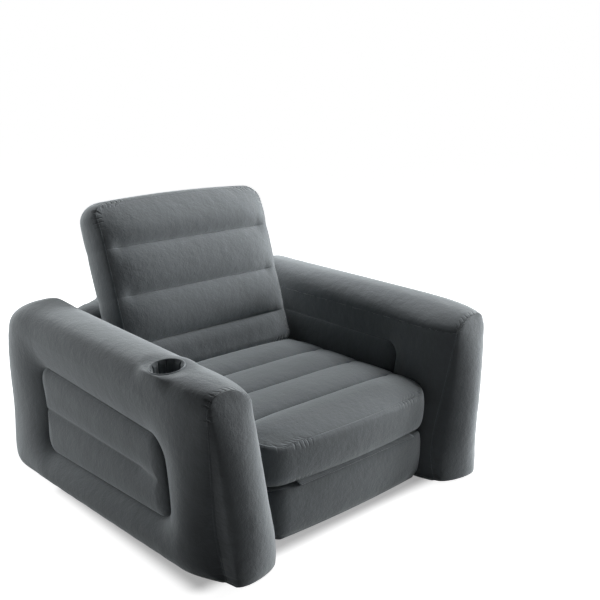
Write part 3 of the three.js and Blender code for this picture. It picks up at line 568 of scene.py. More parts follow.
def swellAt(lines, nodes, lift, crown, side, endRuns):
    settings = channelSettings
    nodes = np.asarray(nodes)
    last = len(nodes) - 1
    k = np.clip(np.searchsorted(nodes, lines, side="left"), 1, last)
    share = (lines - nodes[k - 1]) / (nodes[k] - nodes[k - 1])
    toEnd = np.where(k == 1, share / endRuns[0], np.where(k == last, (1 - share) / endRuns[1], 1.0))
    rise = (lift + crown) * np.sin(np.clip(toEnd, 0, 1) * np.pi / 2) ** settings["crownPower"]
    nearValley = np.where(k == 1, share > 0.5, np.where(k == last, share < 0.5, True))
    dip = crown * (1 - arch(share, settings["valleyPower"])) * nearValley
    return rise - dip * mix(settings["valleyAtSide"], 1.0, smoothStep(*settings["valleyFade"], side))


def sideFade(share):
    return 1 - (1 - channelSettings["sideFloor"]) * np.abs(share) ** channelSettings["sidePower"]


def cornerTravel(fromSide, fromEnd, radius):
    turn = np.arctan2(np.maximum(radius - fromEnd, 0), np.maximum(radius - fromSide, 1e-5))
    side = np.maximum(fromEnd - radius, 0)
    end = np.maximum(fromSide - radius, 0)
    past = np.where(turn > cornerSettings["fullTurn"], end, 0)
    travel = np.where(fromEnd > radius, side, -radius * turn - past)
    away = np.maximum(np.hypot(end, side) - cornerSettings["reach"], 0)
    return travel, np.exp(-(away / cornerSettings["fade"]) ** 2)


# cushions: x across, y along, z up
sidePleat = {"pitch": 0.043, "seed": 0.7, "reach": 0.03}
endPleat = {"pitch": 0.051, "seed": 2.9, "reach": 0.035}
valleyPleat = {"pitch": 0.064, "seed": 1.1, "reach": 0.02}
pleatShares = {"seams": 0.5, "valleys": 0.35, "under": 0.7, "straight": 0.06}


def pleatAt(pleat, along, distance):
    return ripple(along, pleat["pitch"], pleat["seed"]) * np.exp(-distance / pleat["reach"])


def cushionPatches(spec):
    start, end = spec["endBulge"], spec["length"] - spec["endBulge"]
    valleys = [share * spec["length"] for share in spec["valleyShares"]]
    nodes = [start, *valleys, end]
    line, share = channelGrid(nodes)
    across = share * spec["halfWidth"]
    rise = spec["lift"] + spec["crown"]
    fromSide = spec["halfWidth"] - np.abs(across)
    fromStart, fromRear = line - start, end - line
    fromEnd = np.minimum(fromStart, fromRear)
    fromSeam = np.minimum(fromSide, fromEnd)
    fromValley = np.min([np.abs(line - valley) for valley in valleys], axis=0)
    inset = cornerInset(fromEnd, spec["cornerRadius"]) + spec["pinch"] * pinchAt(fromValley)
    x = share * (spec["halfWidth"] - inset)
    front = np.clip(1 - fromStart / (nodes[1] - start), 0, 1)
    rear = np.clip(1 - fromRear / (end - nodes[-2]), 0, 1)
    y = line + spec["bow"] * share ** 2 * (front - rear)

    swell = swellAt(line, nodes, spec["lift"], spec["crown"], fromSide, spec["endRuns"])
    dips = (swellAt(line, nodes, rise, 0.0, fromSide, spec["endRuns"]) - swell) * sideFade(share)
    raised = spec["endRaise"] * (1 - smoothStep(0, spec["raiseRun"], fromStart))
    raised = raised + spec["rearRaise"] * (1 - smoothStep(0, spec["rearRaiseRun"], fromRear))
    shape = raised + swell * sideFade(share) * (1 - raised / rise)
    toe = spec["toeDrop"] * (1 - smoothStep(0, spec["toeRun"], fromStart))
    pleats = pleatAt(sidePleat, line, fromSide) + pleatAt(endPleat, across, fromEnd)
    gather = spec["pleat"] * pleatShares["seams"] * pleats * startShare(fromSeam)
    pucker = spec["pleat"] * pleatShares["valleys"] * pleatAt(valleyPleat, across, fromValley)
    top = np.stack([x, y - toe, spec["height"] - rise + shape + gather + pucker], axis=-1)
    if spec["flatFoot"]:
        footSeam = spec["footSeam"]
        rounding = 1 - np.clip(fromSeam / spec["footRun"], 0, 1)
        drop = footSeam * np.sqrt(1 - rounding ** 2)
    else:
        footSeam = rise * spec["underShare"]
        drop = (shape - raised + dips) * spec["underShare"] - dips * spec["underDip"]
        drop = drop + gather * pleatShares["under"]
    bottom = np.stack([x, y, footSeam - drop], axis=-1)

    def bulge(endShare, points):
        return mix(spec["sideBulge"], spec["endBulge"], endShare)

    travel, inCorner = cornerTravel(fromSide, fromEnd, spec["cornerRadius"])
    gathered = mix(pleatShares["straight"], 1.0, inCorner) * spec["gathers"]
    along, up = np.array([0, 1, 0]), np.array([0, 0, 1])
    underValley = seamSettings["unmarked"] if spec["flatFoot"] else fromValley
    return [
        patch(top, fromSeam, fromValley, travel, gathered),
        patch(bottom, fromSeam, underValley, travel, gathered),
        bandPatch((top, bottom), along, up, bulge, travel, gathered, spec["bandPower"]),
    ]


def leanBack(points, origin, angle):
    cos, sin = math.cos(angle), math.sin(angle)
    x, y, z = points[..., 0], points[..., 1], points[..., 2]
    return np.stack([x, y * cos - z * sin + origin[1], y * sin + z * cos + origin[2]], axis=-1)


# folding lines as y and z from the front of the seat, and how the back cushion leans on its own
foldLine = {
    "front": (-0.004, 0.165), "rear": (0.645, 0.299), "gap": 0.0015, "depth": 0.028, "lean": math.radians(18.7),
}
frameShift = -0.3395
seatFront = foldLine["front"][0] + foldLine["gap"] + frameShift

# what the three cushions share, before each one's own values
cushionForm = {
    "height": 0.160, "lift": 0.022, "crown": 0.024, "flatFoot": False,
    "endBulge": 0.014, "sideBulge": 0.014, "gathers": 1.0,
    "endRaise": 0.0, "raiseRun": 0.05, "rearRaise": 0.0, "rearRaiseRun": 0.035, "toeDrop": 0.0, "toeRun": 0.06,
}
seatSpec = {
    **cushionForm, "length": 0.646, "halfWidth": 0.328, "floor": 0.167, "underShare": 0.06, "underDip": 0.6,
    "endBulge": 0.018, "bandPower": 0.36, "bow": 0.012, "cornerRadius": 0.072,
    "valleyShares": (0.26, 0.505, 0.75), "endRuns": (0.95, 0.24), "pinch": 0.003,
    "pleat": 0.0016, "gathers": 0.5, "rearRaise": 0.032,
}
backCushionSpec = {
    **cushionForm, "length": 0.565, "halfWidth": 0.324, "underShare": 0.5, "underDip": 0.5,
    "bandPower": 0.62, "bow": 0.008, "cornerRadius": 0.046,
    "valleyShares": (0.186, 0.453, 0.72), "endRuns": (0.24, 0.8), "pinch": 0.0015,
    "pleat": 0.0015, "endRaise": 0.036, "raiseRun": 0.045, "toeDrop": 0.020,
}
baseSpec = {
    **cushionForm, "length": 0.684, "height": 0.163, "halfWidth": 0.302, "lift": 0.006, "crown": 0.015,
    "flatFoot": True, "footSeam": 0.016, "footRun": 0.02,
    "bandPower": 0.36, "bow": 0.010, "cornerRadius": 0.042,
    "valleyShares": (0.246, 0.49, 0.728), "endRuns": (0.5, 0.8), "pinch": 0.004,
    "pleat": 0.0014, "gathers": 0.0, "endRaise": 0.019, "raiseRun": 0.04,
}


def buildSeat():
    shift = np.array([0, seatFront, seatSpec["floor"]])
    patches = placePatches(cushionPatches(seatSpec), lambda points: points + shift)
    piece = buildSkin("seatCushion", patches)
    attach(piece, "seat_cushion")
    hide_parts("seat_cushion_skin")
    return piece


def backCushionPlace():
    lean = foldLine["lean"]
    up = np.array([0, math.sin(lean), math.cos(lean)])
    forward = np.array([0, -math.cos(lean), math.sin(lean)])
    fold = np.array([0, foldLine["rear"][0] + frameShift, foldLine["rear"][1]])
    return fold + up * foldLine["gap"] - forward * (backCushionSpec["height"] - foldLine["depth"])


def buildBackCushion(origin):
    turn = math.pi / 2 - foldLine["lean"]
    patches = placePatches(cushionPatches(backCushionSpec), lambda points: leanBack(points, origin, turn))
    piece = buildSkin("backCushion", patches)
    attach(piece, "back_cushion")
    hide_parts("back_cushion_skin")
    return piece


def buildBase():
    shift = np.array([0, seatFront, 0])
    patches = placePatches(cushionPatches(baseSpec), lambda points: points + shift)
    piece = buildSkin("baseCushion", patches)
    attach(piece, "chair")
    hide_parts("base_skin")
    return piece


# the two leaves of the strip that ties the base to the seat cushion, folded at its front;
# low and high are y and z of their edges, and thick says which way their thickness goes

leafSpecs = {
    "baseLeaf": {
        "low": (0.0100, 0.1565), "high": (-0.0004, 0.1645), "thick": (0, 0.0008, 0),
        "body": "chair", "node": "base_strip",
    },
    "seatLeaf": {
        "low": (0.0150, 0.1690), "high": (-0.0004, 0.1656), "thick": (0, 0, 0.0008),
        "body": "seat_cushion", "node": "seat_front_strip",
    },
}
leafForm = {
    "halfWidth": 0.236, "columns": 61, "rows": 9, "bowFade": 0.85, "sag": 0.0008,
    "wave": 0.0004, "wavePitch": 0.08, "waveSeed": 0.4,
}


def buildLeaf(name, spec):
    form = leafForm
    x = np.linspace(-form["halfWidth"], form["halfWidth"], form["columns"])[None, :]
    share = np.linspace(0, 1, form["rows"])[:, None]
    bow = baseSpec["bow"] * (x / baseSpec["halfWidth"]) ** 2 * (1 - share * form["bowFade"])
    wave = form["wave"] * ripple(x, form["wavePitch"], form["waveSeed"]) * (1 - share)
    y = mix(spec["low"][0], spec["high"][0], share) + bow - form["sag"] * arch(share)
    z = mix(spec["low"][1], spec["high"][1], share) + wave
    front = np.stack(np.broadcast_arrays(x, y + frameShift, z), axis=-1)
    rear = front + np.array(spec["thick"])
    rim = closedRing(np.stack([outlineOf(front), outlineOf(rear)]))
    piece = buildSkin(name, [patch(face, seamSettings["plain"]) for face in (front, rear, rim)])
    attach(piece, spec["body"])
    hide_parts(spec["node"])


# fixed back behind the back cushion: shoulders below, headrest hump above

fixedBackSpec = {
    "height": 0.640, "shoulder": 0.455, "shoulderBlend": 0.044,
    "footHalfWidth": 0.284, "shoulderHalfWidth": 0.332, "humpHalfWidth": 0.238,
    "cushionGap": 0.004, "footRear": 1.052, "topRear": 1.015, "seamInset": 0.034,
    "footSeam": 0.018, "footBulgeShare": 1.4, "crown": 0.018, "sideBulge": 0.014, "bandPower": 0.62,
    "cornerRadius": 0.060, "pinch": 0.005, "valleyHeights": (0.182, 0.322, 0.462),
    "pleat": 0.00056, "pleatPitch": 0.019, "pleatSeed": 0.3, "straightGathers": 0.10,
}


def buildFixedBack(cushionOrigin):
    spec = fixedBackSpec
    nodes = [spec["footSeam"], *spec["valleyHeights"], spec["height"] - spec["crown"]]
    z, share = channelGrid(nodes)
    fromValley = np.min([np.abs(z - valley) for valley in spec["valleyHeights"]], axis=0)
    fromTop = nodes[-1] - z
    fromEnd = np.minimum(z - nodes[0], fromTop)
    fromSide = (1 - np.abs(share)) * spec["shoulderHalfWidth"]
    fromSeam = np.minimum(fromSide, fromEnd)
    body = mix(spec["footHalfWidth"], spec["shoulderHalfWidth"], np.minimum(z / spec["shoulder"], 1))
    blend = spec["shoulderBlend"] / 2
    step = smoothStep(spec["shoulder"] - blend, spec["shoulder"] + blend, z)
    inset = cornerInset(fromTop, spec["cornerRadius"]) + spec["pinch"] * pinchAt(fromValley)
    x = share * (mix(body, spec["humpHalfWidth"], step) - inset)
    lift = spec["seamInset"] - spec["crown"]
    swell = swellAt(z, nodes, lift, spec["crown"], fromSide, channelSettings["backEndRuns"])
    gather = spec["pleat"] * gatherAt(z, spec["pleatPitch"], spec["pleatSeed"], fromSide)
    reach = spec["seamInset"] - swell * sideFade(share) - gather
    lean = foldLine["lean"]
    frontY = cushionOrigin[1] + (z - cushionOrigin[2]) * math.tan(lean)
    frontY = frontY + spec["cushionGap"] / math.cos(lean)
    rearY = mix(spec["footRear"], spec["topRear"], z / spec["height"]) + frameShift
    front = np.stack([x, frontY + reach, z], axis=-1)
    rear = np.stack([x, rearY - reach, z], axis=-1)

    def bulge(endShare, points):
        foot = spec["footSeam"] * spec["footBulgeShare"]
        end = np.where(points[:, 2] < spec["shoulder"], foot, spec["crown"])
        return mix(spec["sideBulge"], end, endShare)

    def limit(points):
        return np.maximum(points, [-np.inf, -np.inf, 0])

    travel, inCorner = cornerTravel(fromSide, fromEnd, spec["cornerRadius"])
    gathered = mix(spec["straightGathers"], 1.0, inCorner)
    along, up = np.array([0, 0, 1.0]), np.array([0, -1.0, 0])
    patches = [patch(face, fromSeam, fromValley, travel, gathered) for face in (front, rear)]
    patches.append(bandPatch((front, rear), along, up, bulge, travel, gathered, spec["bandPower"], limit))
    piece = buildSkin("fixedBack", patches)
    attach(piece, "chair")
    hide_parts("fixed_back_skin")
    return piece


# arms: y from the front seam back, z up, x outwards from the middle of the chair

armSpec = {
    "depth": 1.088, "shoulder": 0.440, "innerSeam": 0.455,
    "footSeam": 0.008, "footRun": 0.016, "footSides": 0.2,
    "footOuter": 0.520, "shoulderOuter": 0.538, "footInner": 0.322, "shoulderInner": 0.388,
    "outerBulge": 0.034, "innerBulge": 0.018, "overTop": 0.190, "ringPower": 0.85, "pleat": 0.00084,
    # the outer foot stands out away from the ends, most at the rear
    "footBow": 0.044, "footBowRun": 0.085, "frontBowPower": 2.0,
    "rearBow": 0.098, "rearBowRun": 0.22, "rearBowPower": 3.6,
    # the inner sheet draws in towards the front and its foot
    "innerFront": 0.015, "innerFrontRun": 0.12, "innerFootRound": 0.026, "innerFootRise": 0.12,
    # feet of the two ends reach out along y, within a height and a run
    "footFlare": 0.040, "flareRise": 0.20, "rearFoot": 0.055, "rearFootRise": 0.16, "flareRun": 0.12,
    # the rear rounds forwards towards its top
    "rearStraight": 0.200, "rearRound": 0.150, "rearSoft": 0.25,
    # height along the top, and the shape of the section over it
    "crestFront": 0.499, "crestMiddle": 0.516, "crestRear": 0.533, "crestRun": 0.070,
    "rearDrop": 0.022, "dropShare": 0.10,
    "archLeanFront": 0.26, "archLeanRear": -0.08, "archPower": 0.76, "innerCrease": 0.60,
    # the panels that close the ends
    "frontBulge": 0.078, "rearBulge": 0.048, "capLean": 0.85, "capFade": 1.0,
    "capFoot": 0.9, "capFootRise": 0.010,
    "footLean": 0.58, "footBulge": 0.62, "footHeight": 0.16, "footPower": 1.5,
    # the right arm's front foot leans in
    "rightFootIn": 0.055, "rightFootPower": 1.2, "rightFootRun": 0.33,
}
# how strong the gathers and their painted crease shade are along the seams: over the shoulder, at the foot and
# between
gatherMarks = {
    "least": 0.05, "most": 0.95, "seamRun": 0.012, "footRun": 0.02, "capShare": 0.3,
    "overFrom": (0.06, 0.16), "overTo": (0.90, 0.98),
}
outerWindow = {
    "front": 0.165, "rear": 0.818, "bottom": 0.098, "top": 0.340, "radius": 0.052, "slant": 0.27,
    "frontTaper": 0.86, "rearTaper": 1.05, "sink": 0.004, "crown": 0.022, "edge": 0.055,
    "middle": 0.2117, "weldFade": 0.13,
}
innerWindow = {
    "front": 0.205, "rear": 0.818, "bottom": 0.122, "top": 0.376, "radius": 0.052, "slant": 0.0,
    "frontTaper": 1.0, "rearTaper": 1.0, "sink": 0.012, "crown": 0.014, "edge": 0.045,
    "middle": 0.2414, "weldFade": 0.10,
}
# past the ends the taper runs on a little, and near the front the middle weld dies out
windowForm = {"taperPast": 0.2, "weldLift": 0.04, "weldPower": 1.5, "edgePower": 3.0, "least": 1e-6}


def taperAt(window, y):
    past = windowForm["taperPast"]
    share = np.clip((window["rear"] - y) / (window["rear"] - window["front"]), -past, 1 + past)
    return mix(window["rearTaper"], window["frontTaper"], share)


def slanted(window, y, z):
    rise = (z - window["middle"]) * taperAt(window, y)
    return y + window["slant"] * rise, window["middle"] + rise


def windowDistance(window, y, z):
    y = y - window["slant"] * (z - window["middle"])
    z = window["middle"] + (z - window["middle"]) / taperAt(window, y)
    pairs = ((y, window["front"], window["rear"]), (z, window["bottom"], window["top"]))
    alongY, alongZ = [
        np.abs(value - (low + high) / 2) - (high - low) / 2 + window["radius"] for value, low, high in pairs
    ]
    outside = np.hypot(np.maximum(alongY, 0), np.maximum(alongZ, 0))
    return outside + np.minimum(np.maximum(alongY, alongZ), 0) - window["radius"]


def middleDistance(window, y, z):
    nearFront = np.clip(1 - (y - window["front"]) / window["weldFade"], 0, 1)
    return np.abs(z - window["middle"]) + windowForm["weldLift"] * nearFront ** windowForm["weldPower"]


# a fat ring round a sunk panel with two channels
def sheetBulge(window, y, z, seamHeight, bulge):
    spec, form = armSpec, windowForm
    outside = windowDistance(window, y, z)
    inner = np.clip(np.minimum(-outside, middleDistance(window, y, z)) / window["edge"], 0, 1)
    panel = window["crown"] * np.sqrt(1 - (1 - inner) ** 2) - window["sink"]
    edges = [y, spec["depth"] - y, z - spec["footSeam"], seamHeight - z + spec["overTop"]]
    total = sum(np.maximum(distance, form["least"]) ** -form["edgePower"] for distance in edges)
    edge = total ** (-1 / form["edgePower"])
    beyond = np.maximum(outside, 0)
    share = beyond / (beyond + edge)
    ring = bulge * arch(share, spec["ringPower"]) - window["sink"] * (1 - share)
    onEdge = np.min(edges, axis=0) <= form["least"]
    return np.where(outside <= 0, panel, np.where(onEdge, 0, ring))


def outerSeamX(y, z):
    spec = armSpec
    along = y / spec["depth"]
    share = np.minimum(y / spec["footBowRun"], (spec["depth"] - y) / spec["rearBowRun"])
    most = mix(spec["footBow"], spec["rearBow"], along)
    power = mix(spec["frontBowPower"], spec["rearBowPower"], along)
    bow = most * (1 - (1 - np.clip(share, 0, 1)) ** 2) * np.maximum(1 - z / spec["shoulder"], 0) ** power
    return mix(spec["footOuter"], spec["shoulderOuter"], z / spec["shoulder"]) + bow


def outerX(y, z):
    return outerSeamX(y, z) + sheetBulge(outerWindow, y, z, armSpec["shoulder"], armSpec["outerBulge"])


def innerX(y, z):
    spec = armSpec
    seam = mix(spec["footInner"], spec["shoulderInner"], z / spec["innerSeam"])
    drawnIn = spec["innerFront"] + spec["innerFootRound"] * near(z, spec["innerFootRise"])
    seam = seam + near(y, spec["innerFrontRun"]) * drawnIn
    return seam - sheetBulge(innerWindow, y, z, spec["innerSeam"], spec["innerBulge"])


def stationY(y, z):
    spec = armSpec
    high = np.clip((z - spec["rearStraight"]) / (spec["crestRear"] - spec["rearStraight"]), 0, 1)
    soft = spec["rearSoft"]
    level = math.sqrt(1 + soft ** 2)
    inset = spec["rearRound"] * (level - np.sqrt(1 - high ** 2 + soft ** 2)) / (level - soft)
    rear = outerWindow["rear"]
    flare = spec["footFlare"] * near(z, spec["flareRise"]) * near(y, spec["flareRun"])
    flare = flare + spec["rearFoot"] * near(z, spec["rearFootRise"]) * near(spec["depth"] - y, spec["flareRun"])
    return y - flare - inset * np.clip((y - rear) / (spec["depth"] - rear), 0, 1)


def armPoints(side, x, y, z):
    return np.stack([side * x, stationY(y, z), z], axis=-1)


def crestAt(y):
    spec = armSpec
    front = mix(spec["crestFront"], spec["crestMiddle"], 1 - np.exp(-y / spec["crestRun"]))
    dropping = (y / spec["depth"] - 1 + spec["dropShare"]) / spec["dropShare"]
    drop = spec["rearDrop"] * np.clip(dropping, 0, 1) ** 2
    return front + (spec["crestRear"] - spec["crestMiddle"]) * (y / spec["depth"]) - drop


def archAt(y, share):
    spec = armSpec
    outer = outerX(y, np.full_like(y, spec["shoulder"]))
    inner = innerX(y, np.full_like(y, spec["innerSeam"]))
    rise = crestAt(y) - (spec["shoulder"] + spec["innerSeam"]) / 2
    across = np.cos(share * np.pi)
    lean = mix(spec["archLeanFront"], spec["archLeanRear"], y / spec["depth"])
    lift = rise * np.sin(share * np.pi) ** spec["archPower"] * (1 + lean * across)
    reach = np.sign(across) * np.abs(across) ** spec["archPower"]
    reach = np.where(across < 0, mix(reach, 1 - 2 * share, spec["innerCrease"]), reach)
    x = (outer + inner) / 2 + ((outer - inner) / 2) * reach
    return x, mix(spec["shoulder"], spec["innerSeam"], share) + lift


# stations stand closer at the two ends, and levels at the seams
stationCount, stationPull = 150, 0.125
levelCount, levelEase = 54, 0.6
archCount, footCount, ringCount, quarterCount = 49, 25, 26, 9
stationShares = np.linspace(0, 1, stationCount)
stationShares = stationShares - stationPull * np.sin(2 * np.pi * stationShares)
levelShares = mix(np.linspace(0, 1, levelCount), easedLine(levelCount), levelEase)
stations = stationShares * armSpec["depth"]
archShares = np.linspace(0, 1, archCount)
footShares = np.linspace(0, 1, footCount)


def sampleLine(points, shares):
    lengths = np.concatenate([[0], np.cumsum(np.linalg.norm(np.diff(points, axis=0), axis=1))])
    return np.stack([np.interp(shares, lengths / lengths[-1], column) for column in points.T], axis=-1)


# the weld round a window as four lines, each from the middle of one corner to the middle of the next
def windowSides(window):
    r = window["radius"]
    low = (window["front"] + r, window["bottom"] + r)
    high = (window["rear"] - r, window["top"] - r)
    eighth = math.pi / 4
    corners = {
        "frontBottom": (low[0], low[1], 4 * eighth), "rearBottom": (high[0], low[1], 6 * eighth),
        "rearTop": (high[0], high[1], 0.0), "frontTop": (low[0], high[1], 2 * eighth),
    }

    def half(name, turned):
        y, z, start = corners[name]
        angles = np.linspace(start + turned, start + turned + eighth, quarterCount)
        return np.stack([y + r * np.cos(angles), z + r * np.sin(angles)], axis=-1)

    def between(first, second):
        return np.concatenate([half(first, eighth), half(second, 0)])

    sides = (
        sampleLine(between("frontBottom", "rearBottom"), stationShares),
        sampleLine(between("rearTop", "frontTop")[::-1], stationShares),
        sampleLine(between("frontTop", "frontBottom")[::-1], levelShares),
        sampleLine(between("rearBottom", "rearTop"), levelShares),
    )
    return [np.stack(slanted(window, side[:, 0], side[:, 1]), axis=-1) for side in sides]


# a sheet in its own plane: four patches from its edges to the weld, and the panel inside the weld
def sheetPlan(window, levels):
    sides = windowSides(window)
    bottom, top, front, rear = sides
    edges = (
        (stations, np.full_like(stations, levels[0])), (stations, np.full_like(stations, levels[-1])),
        (np.zeros_like(levels), levels), (np.full_like(levels, armSpec["depth"]), levels),
    )
    rings = easedLine(ringCount)[:, None, None]
    plan = [mix(np.stack(edge, axis=-1)[None], weld[None], rings) for edge, weld in zip(edges, sides)]
    u, v = stationShares[:, None, None], levelShares[None, :, None]
    panel = mix(bottom[:, None], top[:, None], v) + mix(front[None], rear[None], u)
    panel = panel - mix(mix(bottom[0], bottom[-1], u), mix(top[0], top[-1], u), v)
    return plan + [panel]


sheetPleats = {"endPitch": 0.057, "endSeed": 0.9, "footPitch": 0.071, "footSeed": 1.9}


def sheetPatches(window, seamHeight, xAt, side, sign, markTop):
    spec, pleats = armSpec, sheetPleats
    made = []
    for flat in sheetPlan(window, mix(spec["footSeam"], seamHeight, levelShares)):
        y, z = flat[..., 0], flat[..., 1]
        toWindow = windowDistance(window, y, z)
        toMiddle = np.where(toWindow <= 0, middleDistance(window, y, z), seamSettings["unmarked"])
        toWeld = np.minimum(np.abs(toWindow), toMiddle)
        toEnd = np.minimum(y, spec["depth"] - y)
        aboveFoot = z - spec["footSeam"]
        toSeam = np.minimum(toEnd, aboveFoot)
        if markTop:
            toSeam = np.minimum(toSeam, seamHeight - z)
        gather = gatherAt(z, pleats["endPitch"], pleats["endSeed"], toEnd)
        gather = gather + gatherAt(y, pleats["footPitch"], pleats["footSeed"], aboveFoot)
        points = armPoints(side, xAt(y, z) + sign * spec["pleat"] * gather, y, z)
        atShoulder = smoothStep(seamHeight - gatherMarks["seamRun"], seamHeight, z)
        made.append(patch(points, toSeam, toWeld, z, gatheredAt(atShoulder, z)))
    return made


def gatheredAt(atShoulder, z):
    share = np.maximum(atShoulder, np.exp(-z / gatherMarks["footRun"]))
    return share * gatherMarks["most"] + gatherMarks["least"]


def footPatch(side):
    spec = armSpec
    level = np.full_like(stations, spec["footSeam"])
    across = mix(outerX(stations, level)[:, None], innerX(stations, level)[:, None], footShares)
    run = np.clip(np.minimum(stations, spec["depth"] - stations) / spec["footRun"], 0, 1)[:, None]
    edge = np.minimum(footShares, 1 - footShares) * spec["footSides"]
    sink = np.minimum(run, np.clip(edge / spec["footRun"], 0, 1))
    z = spec["footSeam"] * (1 - sink) ** 2
    y = np.broadcast_to(stationY(stations, level)[:, None], across.shape)
    return patch(np.stack([side * across, y, z], axis=-1), seamSettings["plain"])


capPleats = {"pitch": 0.057, "seed": 1.4, "skew": 0.02}


def capPatch(side, y0, bulge):
    spec = armSpec
    outerLevels = mix(spec["footSeam"], spec["shoulder"], levelShares)
    innerLevels = mix(spec["footSeam"], spec["innerSeam"], levelShares)
    flat = np.full_like(outerLevels, y0)
    outer = armPoints(1, outerX(flat, outerLevels), flat, outerLevels)
    inner = armPoints(1, innerX(flat, innerLevels), flat, innerLevels)
    half = len(archShares) // 2
    atEnd = np.full_like(archShares, y0)
    archX, archZ = archAt(atEnd, archShares)
    archLine = armPoints(1, archX, atEnd, archZ)
    left = np.concatenate([outer, archLine[1:half + 1]])
    right = np.concatenate([inner, archLine[::-1][1:half + 1]])
    grid = mix(left[:, None], right[:, None], footShares[None, :, None])
    z = grid[..., 2]
    fade = np.maximum(1 - (z / archZ[half]) ** 2, 0) ** spec["capFade"]
    low = np.clip(1 - z / spec["footHeight"], 0, 1) ** spec["footPower"] * (y0 == 0)
    leaned = footShares ** mix(spec["capLean"], spec["footLean"], low)
    swell = bulge * np.sqrt(arch(leaned)) * fade * mix(1.0, spec["footBulge"], low)
    foot = 1 - np.exp(-(z - spec["footSeam"]) / spec["capFootRise"])
    width = np.linalg.norm(left - right, axis=1)[:, None]
    toSeam = np.minimum(footShares, 1 - footShares) * width
    travel = np.concatenate([[0], np.cumsum(np.linalg.norm(np.diff(left, axis=0), axis=1))])[:, None]
    travel = travel + spec["footSeam"]
    along = travel + footShares * capPleats["skew"]
    gather = spec["pleat"] * gatherAt(along, capPleats["pitch"], capPleats["seed"], toSeam)
    grid[..., 1] += swell * mix(spec["capFoot"], 1.0, foot) + np.sign(bulge) * gather
    grid[..., 0] *= side
    onArch = smoothStep(spec["shoulder"] - gatherMarks["seamRun"], spec["shoulder"], left[:, 2])[:, None]
    gathered = gatheredAt(onArch * gatherMarks["capShare"], z)
    return patch(grid, toSeam, seamSettings["unmarked"], travel, gathered)


def archPatch(side):
    spec = armSpec
    y, share = np.meshgrid(stations, archShares, indexing="ij")
    x, z = archAt(y, share)
    over = armPoints(side, x, y, z)
    steps = np.linalg.norm(np.diff(over, axis=1), axis=2)
    travel = spec["shoulder"] + np.concatenate([np.zeros((len(over), 1)), np.cumsum(steps, axis=1)], axis=1)
    if side < 0:
        over = flattenForCup(over)
    toEnd = np.minimum(y, spec["depth"] - y)
    gathered = smoothStep(*gatherMarks["overFrom"], share) * (1 - smoothStep(*gatherMarks["overTo"], share))
    return patch(over, toEnd, seamSettings["unmarked"], travel, gathered)


def leanFootIn(points):
    spec = armSpec
    low = np.maximum(1 - points[..., 2] / spec["shoulder"], 0) ** spec["rightFootPower"]
    front = 1 - smoothStep(0, spec["rightFootRun"], points[..., 1])
    moved = points.copy()
    moved[..., 0] -= spec["rightFootIn"] * low * front
    return moved


def buildArm(name, node, side):
    spec = armSpec
    patches = sheetPatches(outerWindow, spec["shoulder"], outerX, side, 1, False)
    patches += sheetPatches(innerWindow, spec["innerSeam"], innerX, side, -1, True)
    patches += [archPatch(side), footPatch(side)]
    patches += [capPatch(side, 0.0, -spec["frontBulge"]), capPatch(side, spec["depth"], spec["rearBulge"])]
    if side > 0:
        placePatches(patches, leanFootIn)
    placePatches(patches, lambda points: points + np.array([0, frameShift, 0]))
    piece = buildSkin(name, patches)
    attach(piece, "chair")
    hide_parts(node)
    return piece


# cup well in the top of the left arm: y from the front seam, heights from its rim

cupSpec = {
    "x": 0.511, "y": 0.197, "rim": 0.5135, "tilt": 0.13, "radius": 0.0445, "floorRadius": 0.035, "depth": 0.082,
    "steps": 264, "rows": 20, "rowPower": 1.25, "thickness": 0.0016,
    # the wall from under the rim down to the floor, and the floor with its dimple
    "wallTop": 0.003, "wallInset": 0.002, "wallFoot": 0.005, "floorRound": 0.005, "underRound": 0.004,
    "underDrop": 0.0025, "dimpleShare": 0.5, "dimple": 0.001,
    # points of the rolled rim, outwards from the well's radius and up
    "bead": (
        (-0.0016, -0.0006), (-0.0006, 0.0014), (0.0012, 0.0024), (0.0030, 0.0016), (0.0040, -0.0004),
        (0.0034, -0.0016), (-0.0006, -0.0016),
    ),
    # narrow slots between petals that stand in a little
    "pleats": 12, "pleatDepth": 0.0085, "pleatTurn": 0.4, "petal": 0.004, "slotPower": 24,
    "uneven": 0.2, "unevenTurns": 3, "foldTop": 0.002, "foldRun": 0.006, "foldFade": 0.5, "foldFloor": 0.001,
    # where the arm's top is flattened round the rim, and how much
    "flatRun": (0.008, 0.046), "flatRise": (0.004, 0.045), "mostRise": 0.018, "mostDrop": 0.012,
    # the pocket in the arm, its mouth as points outwards from the well's radius and up
    "pocketGap": 0.006, "pocketFoot": 0.002, "pocketSteps": 72,
    "pocketMouth": ((0.006, -0.012), (0.0, -0.004), (0.0, 0.05)),
    # no seam is drawn round the pocket
    "plainRun": 0.008, "plainAbove": 0.4,
}


def rimHeight(x):
    return cupSpec["rim"] - cupSpec["tilt"] * (np.abs(x) - cupSpec["x"])


def flattenForCup(points):
    spec = cupSpec
    x, y, z = points[..., 0], points[..., 1], points[..., 2]
    fromRim = np.hypot(x + spec["x"], y - spec["y"]) - spec["radius"]
    share = 1 - smoothStep(*spec["flatRun"], fromRim)
    share = share * smoothStep(*spec["flatRise"], z - armSpec["shoulder"])
    held = points.copy()
    held[..., 2] += np.clip(rimHeight(x) - z, -spec["mostDrop"], spec["mostRise"]) * share
    return held


